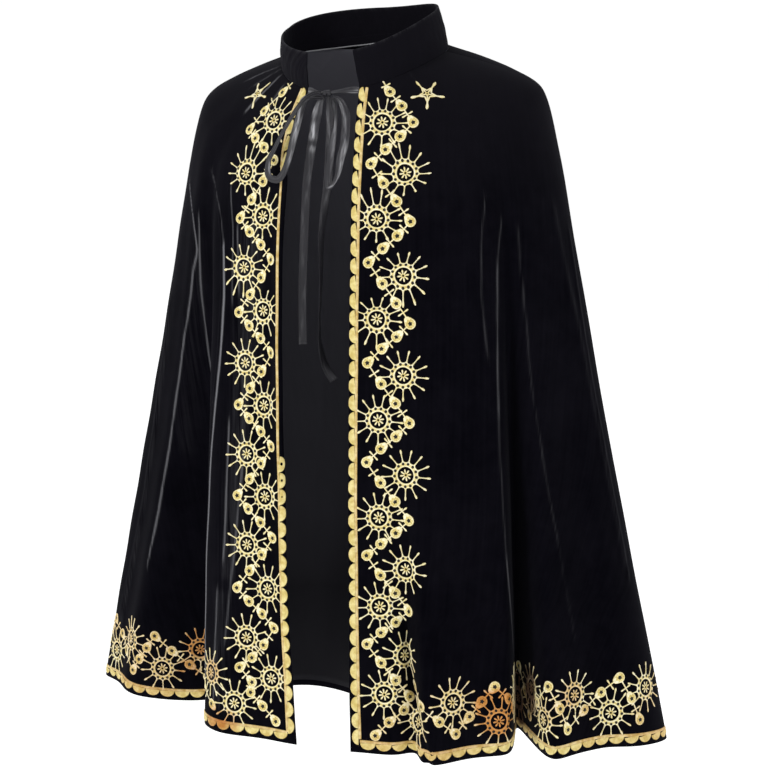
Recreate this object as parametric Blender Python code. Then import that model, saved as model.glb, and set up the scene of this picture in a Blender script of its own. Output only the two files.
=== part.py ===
# Velvet cape with a stand collar, a lined back and a satin ribbon tie.
# The cape hangs as it is worn. Its front faces -Y, +X is the wearer's left and +Z is up.
# The origin is the middle of the neck seam, where the wearer carries it.

import math

import bmesh
import bpy
import numpy as np

# Cloth thicknesses and seams
VELVET_WALL = 0.0016
LINING_WALL = 0.0010
COLLAR_WALL = 0.0026
RIBBON_WALL = 0.0011
SEAM_GAP = 0.0003

# Lining and collar. The lining's margins are shares of the back's length and width.
LINING_HEM_SHARE = 0.010
LINING_NECK_SHARE = 0.006
LINING_SIDE_SHARE = 0.008
COLLAR_BULGE = 0.0012

# Mesh steps
FRONT_COLUMNS = 30
BACK_COLUMNS = 40
BODY_ROWS = 16
ROW_CROWDING = 1.3
COLLAR_COLUMNS = 30
COLLAR_ROWS = 3
FINE_STEPS = 480

# Level sections of the body, from the neck seam down to the hem.
# share of the way down, half width, front depth, middle, back depth, front z, side z, back z
SECTIONS = (
    (0.000, 0.0967, 0.1045, 0.000, 0.0620, -0.0470, 0.0000, 0.0140),
    (0.060, 0.1370, 0.1140, 0.002, 0.0840, -0.0880, -0.0110, -0.0180),
    (0.120, 0.1715, 0.1200, 0.004, 0.1020, -0.1310, -0.0230, -0.0680),
    (0.180, 0.2040, 0.1240, 0.006, 0.1100, -0.1760, -0.0420, -0.1180),
    (0.250, 0.2250, 0.1270, 0.008, 0.1190, -0.2280, -0.1120, -0.1720),
    (0.360, 0.2460, 0.1310, 0.011, 0.1310, -0.3100, -0.2180, -0.2620),
    (0.520, 0.2730, 0.1370, 0.016, 0.1410, -0.4280, -0.3600, -0.4020),
    (0.700, 0.3050, 0.1440, 0.021, 0.1530, -0.5600, -0.5200, -0.5640),
    (0.860, 0.3345, 0.1500, 0.026, 0.1640, -0.6760, -0.6600, -0.7080),
    (1.000, 0.3600, 0.1560, 0.030, 0.1750, -0.7780, -0.7830, -0.8310),
)

# How far the sections are drawn in between front, sides and back.
# share of the way down, part of the radius lost on the diagonals
PINCH = (
    (0.00, 0.00),
    (0.20, 0.00),
    (0.50, 0.03),
    (1.00, 0.06),
)

# Distance of the two front edges from the middle of the opening.
# share of the way down, wearer's left edge, wearer's right edge
FRONT_EDGES = (
    (0.000, 0.0305, 0.0310),
    (0.070, 0.0305, 0.0445),
    (0.170, 0.0300, 0.0520),
    (0.460, 0.0308, 0.0490),
    (0.720, 0.0340, 0.0415),
    (0.860, 0.0365, 0.0345),
    (1.000, 0.0400, 0.0255),
)

# Folds that run down the cloth. Angles are in degrees from the front towards the wearer's left.
FOLD_LEVELS = (0.0, 0.2, 0.4, 0.6, 0.8, 1.0)
# name, angle above, angle at the hem, half width before, half width after, depth at each level
FOLDS = (
    ("left band groove", 19, 18.3, 2.5, 1.4, (0.0, 0.000, 0.000, -0.001, -0.005, -0.011)),
    ("left front ridge", 24, 21.8, 2.2, 6.5, (0.0, 0.000, 0.001, 0.004, 0.014, 0.027)),
    ("left front hollow", 56, 43.3, 3.0, 2.5, (0.0, 0.000, -0.012, -0.030, -0.055, -0.085)),
    ("left side ridge", 61, 46.9, 2.0, 7.0, (0.0, 0.000, 0.004, 0.006, 0.012, 0.019)),
    ("left side hollow", 74, 64, 6.0, 6.0, (0.0, 0.000, 0.000, -0.004, -0.006, -0.007)),
    ("left back hollow", 104, 106, 8.0, 8.0, (0.0, 0.000, -0.004, -0.010, -0.020, -0.032)),
    ("back left ridge", 124, 124, 8.0, 8.0, (0.0, 0.000, 0.003, 0.006, 0.010, 0.016)),
    ("back left hollow", 142, 144, 7.0, 7.0, (0.0, 0.000, -0.006, -0.014, -0.026, -0.040)),
    ("back ridge", 160, 163, 8.0, 8.0, (0.0, 0.000, 0.003, 0.006, 0.010, 0.014)),
    ("back hollow", 182, 184, 8.0, 8.0, (0.0, 0.000, -0.004, -0.010, -0.020, -0.030)),
    ("back right ridge", 202, 203, 8.0, 8.0, (0.0, 0.000, 0.003, 0.006, 0.011, 0.016)),
    ("back right hollow", 222, 221, 7.0, 7.0, (0.0, 0.000, -0.006, -0.016, -0.028, -0.044)),
    ("right back ridge", 240, 240, 8.0, 8.0, (0.0, 0.000, 0.003, 0.006, 0.010, 0.014)),
    ("right back hollow", 258, 257, 8.0, 8.0, (0.0, 0.000, -0.004, -0.008, -0.018, -0.028)),
    ("right seam ridge", 279, 281, 7.0, 7.0, (0.0, 0.000, 0.002, 0.006, 0.009, 0.011)),
    ("right side ridge", 306, 302, 6.0, 6.0, (0.0, 0.004, 0.007, 0.008, 0.008, 0.008)),
    ("right front hollow", 312, 326.4, 15.0, 4.0, (0.0, -0.004, -0.020, -0.042, -0.062, -0.086)),
    ("right front ridge", 325, 340, 6.0, 6.0, (0.0, 0.002, 0.004, 0.006, 0.009, 0.013)),
    ("right front lip", 345.5, 356, 2.5, 3.0, (0.0, 0.004, 0.008, 0.007, 0.003, 0.000)),
)

# How much lower the hem hangs than its level section. Further up the cloth this fades with a power.
# angle, drop at the hem
HEM_SWAGS = (
    (0, 0.0000),
    (296, 0.0000),
    (306, 0.0055),
    (316, 0.0085),
    (322, 0.0050),
    (330, 0.0000),
    (360, 0.0000),
)
HEM_SWAG_POWER = 5

# The collar's upper rim: half width, front depth, middle, back depth, front z, side z, back z
COLLAR_RIM = (0.0905, 0.1055, -0.0085, 0.0575, -0.0062, 0.0318, 0.0570)
# Distances of the rim's two front ends from its middle, wearer's left and right.
COLLAR_RIM_GAPS = (0.0266, 0.0276)
# The rim leans to the wearer's right, and its left side stands higher.
COLLAR_LEAN = 0.0037
COLLAR_LEFT_RISE = 0.0128

# Centre lines of the ribbon in millimetres, with the ribbon's width and the way that it faces.
# x, y, z, width, angle of the ribbon's face in degrees from the front
RIBBON_PATHS = {
    "bow_loop_right": (
        (-8.0, -109.6, -54.4, 4.0, -10),
        (-17.0, -110.3, -53.8, 4.5, -10),
        (-24.0, -110.9, -53.6, 5.5, -5),
        (-29.8, -112.0, -56.8, 7.5, 0),
        (-32.7, -113.4, -64.8, 8.5, 0),
        (-34.8, -115.5, -76.0, 9.0, 0),
        (-37.6, -118.0, -89.3, 9.0, 0),
        (-40.5, -120.0, -102.9, 9.0, -5),
        (-43.5, -121.6, -116.5, 8.5, -10),
        (-47.1, -122.6, -128.5, 8.0, -10),
        (-51.8, -123.2, -138.3, 8.0, -5),
        (-58.4, -123.6, -143.6, 8.0, 0),
        (-65.4, -123.6, -142.0, 8.0, 0),
        (-69.6, -123.2, -134.0, 8.0, -10),
        (-68.4, -122.6, -123.0, 8.0, -25),
        (-61.4, -122.2, -109.9, 8.0, -38),
        (-53.8, -121.4, -95.4, 8.0, -42),
        (-46.2, -120.0, -82.4, 8.0, -40),
        (-34.4, -117.9, -64.8, 6.5, -30),
        (-26.0, -116.3, -55.3, 4.5, -20),
        (-16.8, -114.8, -49.9, 3.5, -10),
        (-9.0, -113.4, -48.7, 3.0, 0),
    ),
    "bow_loop_left": (
        (3.4, -108.9, -54.0, 4.0, 10),
        (10.0, -111.0, -56.0, 4.5, 15),
        (15.7, -113.0, -61.3, 7.0, 20),
        (21.6, -116.0, -79.0, 9.5, 20),
        (20.6, -117.6, -101.6, 9.5, 10),
        (15.6, -117.6, -120.5, 9.0, 0),
        (12.0, -117.0, -137.3, 8.0, -20),
        (5.0, -116.0, -149.4, 6.0, -40),
        (-1.5, -113.2, -152.0, 6.0, -20),
        (-2.6, -110.9, -141.3, 8.0, 0),
        (-0.1, -109.8, -123.8, 9.0, 0),
        (2.6, -109.0, -101.3, 8.0, 5),
        (5.6, -108.2, -76.5, 5.5, 10),
        (4.6, -107.6, -62.3, 4.0, 10),
        (1.6, -107.2, -54.4, 3.5, 10),
    ),
    "tie_tail_short": (
        (-7.6, -106.8, -52.2, 4.0, 0),
        (-12.5, -106.6, -58.6, 7.0, 10),
        (-17.0, -106.6, -72.0, 11.0, 15),
        (-22.6, -106.6, -101.2, 10.5, 15),
        (-26.4, -106.6, -122.7, 10.0, 20),
        (-29.7, -106.6, -147.2, 9.5, 25),
        (-31.7, -106.6, -178.8, 9.5, 25),
        (-34.8, -106.6, -235.8, 9.5, 20),
        (-36.4, -106.6, -285.2, 9.5, 20),
        (-36.0, -106.6, -327.3, 9.5, 20),
    ),
    "tie_tail_long": (
        (-2.8, -107.4, -52.5, 4.0, 0),
        (-3.2, -105.2, -58.0, 5.5, 0),
        (-3.4, -102.8, -68.4, 8.0, 0),
        (-3.4, -102.4, -92.0, 9.5, 0),
        (-4.8, -102.0, -121.9, 9.5, 10),
        (-6.7, -102.0, -148.0, 9.5, 25),
        (-11.2, -102.0, -178.7, 9.5, 50),
        (-14.7, -102.0, -211.2, 9.5, 75),
        (-14.9, -102.0, -251.9, 9.5, 92),
        (-16.8, -102.0, -292.7, 9.5, 100),
        (-17.4, -102.0, -317.5, 9.5, 95),
        (-12.7, -102.0, -344.2, 9.5, 70),
        (-6.0, -102.0, -358.9, 9.5, 45),
        (0.5, -102.0, -367.0, 9.5, 30),
    ),
}

# The ribbon drawn across the opening, as a gathered cord with the knot near its middle.
# x, y, z, half height, half depth, all in millimetres
TIE_BAND = (
    (-30.2, -99.2, -47.0, 2.6, 0.9),
    (-25.0, -103.0, -47.2, 3.8, 1.2),
    (-19.0, -105.6, -47.6, 2.8, 1.5),
    (-13.0, -107.6, -48.4, 2.0, 1.8),
    (-8.0, -108.6, -48.9, 3.0, 3.0),
    (-3.0, -108.6, -49.0, 3.2, 3.2),
    (2.0, -108.2, -48.8, 3.2, 3.0),
    (6.5, -107.4, -48.3, 2.6, 2.2),
    (12.0, -106.0, -47.7, 1.9, 1.6),
    (18.0, -104.4, -46.8, 2.1, 1.5),
    (24.0, -102.6, -46.4, 2.8, 1.3),
    (29.7, -99.2, -46.4, 2.4, 0.9),
)
TIE_BAND_STEPS = 22
TIE_BAND_SIDES = 8
RIBBON_STEPS = 34

# Base colours in linear light, roughness and metallic
VELVET_LOOK = ((0.008, 0.008, 0.011), 0.85, 0.0)
LINING_LOOK = ((0.018, 0.019, 0.021), 0.45, 0.0)
RIBBON_LOOK = ((0.045, 0.046, 0.050), 0.35, 0.0)


def smooth_table(rows, at):
    """Columns after the first, read at the given places on smooth curves that never overshoot."""
    table = np.array(rows, dtype=float)
    knots = table[:, 0]
    values = table[:, 1:]
    at = np.clip(np.asarray(at, dtype=float), knots[0], knots[-1])
    step = np.diff(knots)[:, None]
    slope = np.diff(values, axis=0) / step
    same_way = slope[:-1] * slope[1:] > 0
    safe = np.where(same_way, slope[:-1] * slope[1:], 1.0)
    heavy = 2 * step[1:] + step[:-1]
    light = step[1:] + 2 * step[:-1]
    mean = (heavy + light) * safe / (heavy * slope[1:] + light * slope[:-1] + (~same_way))
    tangent = np.vstack([slope[:1], np.where(same_way, mean, 0.0), slope[-1:]])
    index = np.clip(np.searchsorted(knots, at, side="right") - 1, 0, len(knots) - 2)
    width = (knots[index + 1] - knots[index])[..., None]
    part = ((at - knots[index]))[..., None] / width
    start = (1 + 2 * part) * (1 - part) ** 2
    leave = part * (1 - part) ** 2 * width
    end = part ** 2 * (3 - 2 * part)
    arrive = part ** 2 * (part - 1) * width
    return (start * values[index] + leave * tangent[index]
            + end * values[index + 1] + arrive * tangent[index + 1])


def body_point(theta, share):
    """Outer surface of the cape at an angle in degrees and a share of the way down."""
    theta, share = np.broadcast_arrays(np.asarray(theta, float), np.asarray(share, float))
    columns = np.moveaxis(smooth_table(SECTIONS, share), -1, 0)
    half_width, front, middle, back, front_z, side_z, back_z = columns
    turn = np.radians(theta)
    ahead = np.cos(turn)
    across = np.sin(turn)
    deep = np.where(ahead > 0, front + middle, back - middle)
    drawn_in = 1 - smooth_table(PINCH, share)[..., 0] * np.sin(2 * turn) ** 2
    x = half_width * across * drawn_in
    y = middle - deep * ahead * drawn_in
    level_tilt = (front_z - back_z) / 2 * ahead
    level_sag = ((front_z + back_z) / 2 - side_z) * ahead ** 2
    swag = smooth_table(HEM_SWAGS, theta)[..., 0] * share ** HEM_SWAG_POWER
    z = side_z + level_tilt + level_sag - swag
    out_x = across / half_width
    out_y = -ahead / deep
    out_length = np.hypot(out_x, out_y)
    push = np.zeros_like(x)
    for _name, above, hem, before, after, depths in FOLDS:
        depth = smooth_table(list(zip(FOLD_LEVELS, depths)), share)[..., 0]
        centre = above + (hem - above) * np.clip((share - 0.2) / 0.8, 0, 1)
        away = theta - centre
        half = np.where(away < 0, before, after)
        push = push + depth * np.exp(-(away / half) ** 2)
    return np.stack([x + push * out_x / out_length, y + push * out_y / out_length, z], -1)


def body_normal(theta, share):
    """Outward direction of the cape's surface, from two short steps along it."""
    turn_step = 0.2
    share_step = 0.002
    along = body_point(theta + turn_step, share) - body_point(theta - turn_step, share)
    above = np.clip(share - share_step, 0, 1)
    below = np.clip(share + share_step, 0, 1)
    down = body_point(theta, below) - body_point(theta, above)
    normal = np.cross(down, along)
    return normal / np.linalg.norm(normal, axis=-1, keepdims=True)


def body_levels():
    """Shares of the way down at which the panels' mesh rows lie, closer near the shoulders."""
    steps = np.arange(1, BODY_ROWS + 1) / BODY_ROWS
    inner = steps[:-1] ** ROW_CROWDING
    return np.concatenate([[0.0, LINING_NECK_SHARE], inner, [1 - LINING_HEM_SHARE, 1.0]])


def panel_angles(start, end, share, shares_across):
    """Angles that split one level of a panel at the given shares of its length along the cloth."""
    fine = np.linspace(start, end, FINE_STEPS + 1)
    points = body_point(fine, share)
    pieces = np.linalg.norm(np.diff(points, axis=0), axis=1)
    length = np.concatenate([[0.0], np.cumsum(pieces)])
    return np.interp(shares_across * length[-1], length, fine)


def front_edge_angle(share, side):
    """Angle of a front edge; side is 0 for the wearer's left and 1 for the right."""
    gap = smooth_table(FRONT_EDGES, share)[side]
    half_width = smooth_table(SECTIONS, share)[0]
    return math.degrees(math.asin(gap / half_width))


def seam_angle(share, column):
    """Half the gap of a side seam, as an angle; column is the depth in front of it or behind it."""
    values = smooth_table(SECTIONS, share)
    depth = abs(values[column] - values[2]) if column == 3 else values[column] + values[2]
    return math.degrees(SEAM_GAP / 2 / depth)


def panel_grid(limits, shares_across):
    """Angles and shares of a panel's mesh points, a row for each level."""
    levels = body_levels()
    angles = [panel_angles(*limits(share), share, shares_across) for share in levels]
    return np.array(angles), np.repeat(levels[:, None], len(shares_across), axis=1)


def left_front_limits(share):
    return front_edge_angle(share, 0), 90 - seam_angle(share, 1)


def right_front_limits(share):
    return 270 + seam_angle(share, 1), 360 - front_edge_angle(share, 1)


def back_limits(share):
    return 90 + seam_angle(share, 3), 270 - seam_angle(share, 3)


def back_shares():
    """Shares across the back, with one narrow column at each side that the lining leaves bare."""
    inner = np.linspace(0, 1, BACK_COLUMNS + 1)[1:-1]
    return np.concatenate([[0.0, LINING_SIDE_SHARE], inner, [1 - LINING_SIDE_SHARE, 1.0]])


def make_material(name, look):
    colour, roughness, metallic = look
    material = bpy.data.materials.new(name)
    material.use_nodes = True
    shader = material.node_tree.nodes["Principled BSDF"]
    shader.inputs["Base Color"].default_value = (*colour, 1.0)
    shader.inputs["Roughness"].default_value = roughness
    shader.inputs["Metallic"].default_value = metallic
    return material


def make_object(name, mesh_data, look):
    mesh = bpy.data.meshes.new(name)
    mesh_data.to_mesh(mesh)
    mesh_data.free()
    mesh.shade_smooth()
    mesh.set_sharp_from_angle(angle=math.radians(50))
    mesh.materials.append(make_material(name + "_look", look))
    made = bpy.data.objects.new(name, mesh)
    bpy.context.scene.collection.objects.link(made)
    return made


def face_outwards(closed):
    """Turns all faces of a closed mesh outwards: its volume is then positive."""
    bmesh.ops.recalc_face_normals(closed, faces=closed.faces[:])
    if closed.calc_volume(signed=True) < 0:
        bmesh.ops.reverse_faces(closed, faces=closed.faces[:])


def cloth_sheet(name, outer, inner, look):
    """A closed sheet of cloth between two tables of points, a row for each level."""
    rows = outer.shape[0] - 1
    columns = outer.shape[1] - 1
    sheet = bmesh.new()
    bmesh.ops.create_grid(sheet, x_segments=columns, y_segments=rows, size=0.5)
    bmesh.ops.triangulate(sheet, faces=sheet.faces[:], quad_method="FIXED")
    outer_verts = sheet.verts[:]
    made = bmesh.ops.extrude_face_region(sheet, geom=sheet.faces[:], use_keep_orig=True)
    inner_verts = [item for item in made["geom"] if isinstance(item, bmesh.types.BMVert)]
    for verts, points in ((outer_verts, outer), (inner_verts, inner)):
        for vert in verts:
            column = round((vert.co.x + 0.5) * columns)
            row = round((0.5 - vert.co.y) * rows)
            vert.co = points[row][column]
    face_outwards(sheet)
    return make_object(name, sheet, look)


def build_panel(name, limits, shares_across):
    angles, shares = panel_grid(limits, shares_across)
    outer = body_point(angles, shares)
    inner = outer - body_normal(angles, shares) * VELVET_WALL
    return cloth_sheet(name, outer, inner, VELVET_LOOK)


def build_back_lining():
    """The lining is made from the back's points, moved in behind the velvet."""
    angles, shares = panel_grid(back_limits, back_shares())
    angles = angles[1:-1, 1:-1]
    shares = shares[1:-1, 1:-1]
    surface = body_point(angles, shares)
    normal = body_normal(angles, shares)
    outer = surface - normal * (VELVET_WALL + SEAM_GAP)
    return cloth_sheet("back_lining", outer, outer - normal * LINING_WALL, LINING_LOOK)


def collar_point(turn, rise):
    """Outer face of the collar, from the neck seam at rise 0 to the rim at rise 1."""
    base = np.array(SECTIONS[0][1:])
    rim = np.array(COLLAR_RIM)
    mixed = base[None, :] + (rim - base)[None, :] * rise[:, None]
    half_width, front, middle, back, front_z, side_z, back_z = mixed.T
    ahead = np.cos(turn)
    across = np.sin(turn)
    deep = np.where(ahead > 0, front + middle, back - middle)
    swell = COLLAR_BULGE * np.sin(math.pi * rise)
    x = (half_width + swell) * across - COLLAR_LEAN * rise
    y = middle - (deep + swell) * ahead
    level_tilt = (front_z - back_z) / 2 * ahead
    level_sag = ((front_z + back_z) / 2 - side_z) * ahead ** 2
    left_rise = COLLAR_LEFT_RISE * rise * np.maximum(across, 0) ** 2
    z = side_z + level_tilt + level_sag + left_rise + SEAM_GAP
    return np.stack([x, y, z], -1)


def collar_turn(share, rise):
    """Angle round the neck in radians, from the left front edge to the right one."""
    half_width = SECTIONS[0][1] + (COLLAR_RIM[0] - SECTIONS[0][1]) * rise
    left_gap = FRONT_EDGES[0][1] + (COLLAR_RIM_GAPS[0] - FRONT_EDGES[0][1]) * rise
    right_gap = FRONT_EDGES[0][2] + (COLLAR_RIM_GAPS[1] - FRONT_EDGES[0][2]) * rise
    start = np.arcsin(left_gap / half_width)
    end = 2 * math.pi - np.arcsin(right_gap / half_width)
    return start + (end - start) * share


def build_collar():
    shares = np.linspace(0, 1, COLLAR_COLUMNS + 1)
    rises = np.linspace(0, 1, COLLAR_ROWS + 1)
    outer = []
    inner = []
    small = 0.01
    for rise in rises[::-1]:
        level = np.full_like(shares, rise)
        turn = collar_turn(shares, level)
        point = collar_point(turn, level)
        along = collar_point(turn + small, level) - collar_point(turn - small, level)
        low = np.clip(level - small, 0, 1)
        high = np.clip(level + small, 0, 1)
        upward = collar_point(turn, high) - collar_point(turn, low)
        normal = np.cross(along, upward)
        normal = normal / np.linalg.norm(normal, axis=-1, keepdims=True)
        outer.append(point)
        inner.append(point - normal * COLLAR_WALL)
    return cloth_sheet("collar", np.array(outer), np.array(inner), VELVET_LOOK)


def path_stations(path, steps):
    """A path's columns at even steps along its length, in metres where they are lengths."""
    rows = np.array(path, dtype=float)
    pieces = np.linalg.norm(np.diff(rows[:, :3], axis=0), axis=1)
    length = np.concatenate([[0.0], np.cumsum(pieces)])
    table = np.column_stack([length, rows])
    return smooth_table(table, np.linspace(0, length[-1], steps + 1))


def build_ribbon(name, path):
    """A flat ribbon along its centre line, turned to face as each row of the path says."""
    stations = path_stations(path, RIBBON_STEPS)
    centre = stations[:, :3] / 1000
    half_width = stations[:, 3:4] / 2000
    facing = np.radians(stations[:, 4])
    tangent = np.gradient(centre, axis=0)
    tangent = tangent / np.linalg.norm(tangent, axis=1, keepdims=True)
    face = np.stack([np.sin(facing), -np.cos(facing), np.zeros_like(facing)], -1)
    side = np.cross(tangent, face)
    side = side / np.linalg.norm(side, axis=1, keepdims=True)
    normal = np.cross(side, tangent)
    front = centre + normal * RIBBON_WALL / 2
    outer = np.stack([front - side * half_width, front + side * half_width], 1)
    inner = outer - normal[:, None, :] * RIBBON_WALL
    return cloth_sheet(name, outer, inner, RIBBON_LOOK)


def build_tie_band():
    """The gathered ribbon across the opening, a closed tube of oval rings."""
    stations = path_stations(TIE_BAND, TIE_BAND_STEPS) / 1000
    tube = bmesh.new()
    rings = []
    for x, y, z, half_height, half_depth in stations:
        ring = bmesh.ops.create_circle(tube, segments=TIE_BAND_SIDES, radius=1.0)["verts"]
        for vert in ring:
            unit = vert.co.copy()
            vert.co = (x, y + unit.x * half_depth, z + unit.y * half_height)
        rings.append({edge for vert in ring for edge in vert.link_edges})
    for first, second in zip(rings, rings[1:]):
        bmesh.ops.bridge_loops(tube, edges=list(first | second))
    for end in (rings[0], rings[-1]):
        bmesh.ops.contextual_create(tube, geom=list(end))
    face_outwards(tube)
    return make_object("tie_band", tube, RIBBON_LOOK)


def clear_scene():
    for item in list(bpy.data.objects):
        bpy.data.objects.remove(item, do_unlink=True)


def main():
    clear_scene()
    front_shares = np.linspace(0, 1, FRONT_COLUMNS + 1)
    build_panel("front_left", left_front_limits, front_shares)
    build_panel("front_right", right_front_limits, front_shares)
    build_panel("back", back_limits, back_shares())
    build_back_lining()
    build_collar()
    build_tie_band()
    for name, path in RIBBON_PATHS.items():
        build_ribbon(name, path)


main()
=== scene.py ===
import math

import bmesh
import bpy
import numpy as np
from mathutils import Matrix, Vector


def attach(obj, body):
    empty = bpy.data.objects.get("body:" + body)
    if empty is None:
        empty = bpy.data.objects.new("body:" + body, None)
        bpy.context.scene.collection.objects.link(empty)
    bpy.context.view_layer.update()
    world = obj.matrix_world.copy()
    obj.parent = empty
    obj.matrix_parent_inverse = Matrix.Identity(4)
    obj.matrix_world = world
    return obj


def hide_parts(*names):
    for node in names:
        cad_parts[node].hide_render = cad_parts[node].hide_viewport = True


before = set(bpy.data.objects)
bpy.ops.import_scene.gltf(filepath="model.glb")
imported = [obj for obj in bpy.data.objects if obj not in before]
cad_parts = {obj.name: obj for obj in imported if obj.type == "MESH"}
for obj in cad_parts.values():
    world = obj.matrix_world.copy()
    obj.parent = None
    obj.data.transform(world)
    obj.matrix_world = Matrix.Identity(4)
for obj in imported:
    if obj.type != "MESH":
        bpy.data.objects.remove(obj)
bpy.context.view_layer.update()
print("frame loaded")

mm = 0.001
up = np.array([0.0, 0.0, 1.0])


def setUp(name, data, spot, aim):
    # a camera or lamp at its spot, looking at its aim
    made = bpy.data.objects.new(name, data)
    made.location = spot
    made.rotation_mode = "QUATERNION"
    made.rotation_quaternion = (Vector(aim) - Vector(spot)).to_track_quat("-Z", "Y")
    bpy.context.scene.collection.objects.link(made)
    return made


# where the photograph was taken from: degrees to the side and up, metres, lens in millimetres
shot = {
    "side": 21.0, "height": 7.8212, "distance": 1.8854, "lens": 74.58, "sensor": 36,
    "aimAcross": 0.0202, "aimUp": -0.3847,
}


def makeCamera():
    side, height = math.radians(shot["side"]), math.radians(shot["height"])
    back = Vector((math.sin(side) * math.cos(height), -math.cos(side) * math.cos(height), math.sin(height)))
    aim = Vector((math.cos(side), math.sin(side), 0)) * shot["aimAcross"] + Vector((0, 0, shot["aimUp"]))
    camera = setUp("camera", bpy.data.cameras.new("camera"), aim + back * shot["distance"], aim)
    camera.data.lens = shot["lens"]
    camera.data.sensor_width = shot["sensor"]
    bpy.context.scene.camera = camera


makeCamera()
print("camera set")


# nodes as expressions: a wire is one output, and sums on wires add their Math nodes
class Wire:
    def __init__(self, finish, socket):
        self.finish, self.socket = finish, socket


def mathOn(operation, reflected):
    def combine(wire, other):
        first, second = (other, wire) if reflected else (wire, other)
        return wire.finish.add("ShaderNodeMath", {"operation": operation}, {0: first, 1: second})

    return combine


for sign, operation in (("add", "ADD"), ("sub", "SUBTRACT"), ("mul", "MULTIPLY"), ("pow", "POWER")):
    setattr(Wire, "__" + sign + "__", mathOn(operation, False))
    setattr(Wire, "__r" + sign + "__", mathOn(operation, True))


class Finish:
    def __init__(self, name):
        self.material = bpy.data.materials.new(name)
        self.material.use_nodes = True
        self.tree = self.material.node_tree
        self.shader = self.tree.nodes["Principled BSDF"]

    def add(self, kind, settings=None, sockets=None, out=0):
        node = self.tree.nodes.new(kind)
        for key, value in (settings or {}).items():
            setattr(node, key, value)
        for key, value in (sockets or {}).items():
            self.feed(node.inputs[key], value)
        return Wire(self, node.outputs[out])

    def feed(self, socket, value):
        if isinstance(value, Wire):
            self.tree.links.new(value.socket, socket)
        else:
            plain = socket.type == "RGBA" and len(value) == 3
            socket.default_value = (*value, 1) if plain else value

    def surface(self, **values):
        for key, value in values.items():
            self.feed(self.shader.inputs[key.replace("_", " ")], value)

    def mix(self, factor, first, second):
        return self.add("ShaderNodeMix", {"data_type": "RGBA"}, {0: factor, 6: first, 7: second}, out=2)

    def noise(self, vector, scale, detail=3.0):
        sockets = {"Vector": vector, "Scale": scale, "Detail": detail, "Roughness": 0.55}
        return self.add("ShaderNodeTexNoise", None, sockets)

    def wave(self, vector, direction, scale, distortion, detail):
        sockets = {"Vector": vector, "Scale": scale, "Distortion": distortion, "Detail": detail}
        return self.add("ShaderNodeTexWave", {"bands_direction": direction}, sockets)

    def ramp(self, factor, low, high):
        sockets = {"Value": factor, "From Min": low, "From Max": high}
        return self.add("ShaderNodeMapRange", {"clamp": True}, sockets)

    def stretched(self, vector, across, along):
        return self.add("ShaderNodeMapping", None, {"Vector": vector, "Scale": (across, along, 1.0)})

    def bump(self, height, strength, distance):
        sockets = {"Height": height, "Strength": strength, "Distance": distance}
        return self.add("ShaderNodeBump", None, sockets)

    def vector(self, operation, first, second, out=0):
        return self.add("ShaderNodeVectorMath", {"operation": operation}, {0: first, 1: second}, out)

    def objectPlace(self):
        return self.add("ShaderNodeTexCoord", None, None, out="Object")

    def clothPlace(self):
        return self.add("ShaderNodeUVMap", {"uv_map": "cloth"})

    def attribute(self, name):
        return self.add("ShaderNodeAttribute", {"attribute_name": name}, None, out="Fac")

    def heightOf(self, place):
        return self.add("ShaderNodeSeparateXYZ", None, {"Vector": place}, out="Z")

    def touched(self, place, spots, total):
        # adds up (place, reach, strength) spots: full at each spot, nothing beyond its reach
        for spot, reach, strength in spots:
            away = self.vector("DISTANCE", place, spot, "Value")
            total = total + self.ramp(away, reach, reach * 0.6) * strength
        return self.ramp(total, 0.0, 1.0)


velvetLook = {
    "deep": (0.001, 0.0009, 0.0022), "pile": (0.0034, 0.0031, 0.0054), "upper": (0.0075, 0.007, 0.0095),
    # the lightest tone is the painted highlight laid along creases
    "highlightTone": (0.19, 0.19, 0.205), "sheen": (0.78, 0.78, 0.92, 1),
    # heights between which the upper tone, a painted sheen, comes in, from the chest to the neck
    "paintedSheenFrom": -0.2, "paintedSheenTo": -0.03,
}


def velvetFinish():
    look = velvetLook
    finish = Finish("black_velvet")
    place, cloth = finish.objectPlace(), finish.clothPlace()
    cloud = finish.noise(place, 9.0)
    mottle = finish.noise(place, 70.0)
    streak = finish.noise(finish.stretched(cloth, 230.0, 7.0), 1.0)
    strand = finish.noise(finish.stretched(cloth, 620.0, 20.0), 1.0, 2.0)
    nap = finish.noise(place, 1500.0, 2.0)
    painted_highlight = finish.attribute("painted_highlight")
    pile = finish.ramp(cloud * 0.45 + mottle * 0.25 + streak * 0.3, 0.38, 0.64)
    colour = finish.mix(pile, look["deep"], look["pile"])
    # painted sheen: the velvet is lighter towards the shoulders and neck
    upper = finish.ramp(finish.heightOf(place), look["paintedSheenFrom"], look["paintedSheenTo"])
    colour = finish.mix(upper * 0.6, colour, look["upper"])
    # painted highlights: strong creases shine all along, weak broad ones only in streaks
    paintedHighlight = painted_highlight * finish.ramp(streak * 0.6 + strand * 0.4 + painted_highlight * 0.5, 0.45, 0.72)
    finish.surface(
        Base_Color=finish.mix(paintedHighlight, colour, look["highlightTone"]),
        Roughness=0.82 + nap * 0.16,
        Normal=finish.bump(nap * 0.6 + strand * 0.4, 0.3, 0.0005),
        IOR=1.2,
        Specular_IOR_Level=0.12,
        Sheen_Weight=0.025,
        Sheen_Roughness=0.4,
        Sheen_Tint=look["sheen"],
    )
    return finish.material


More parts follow.
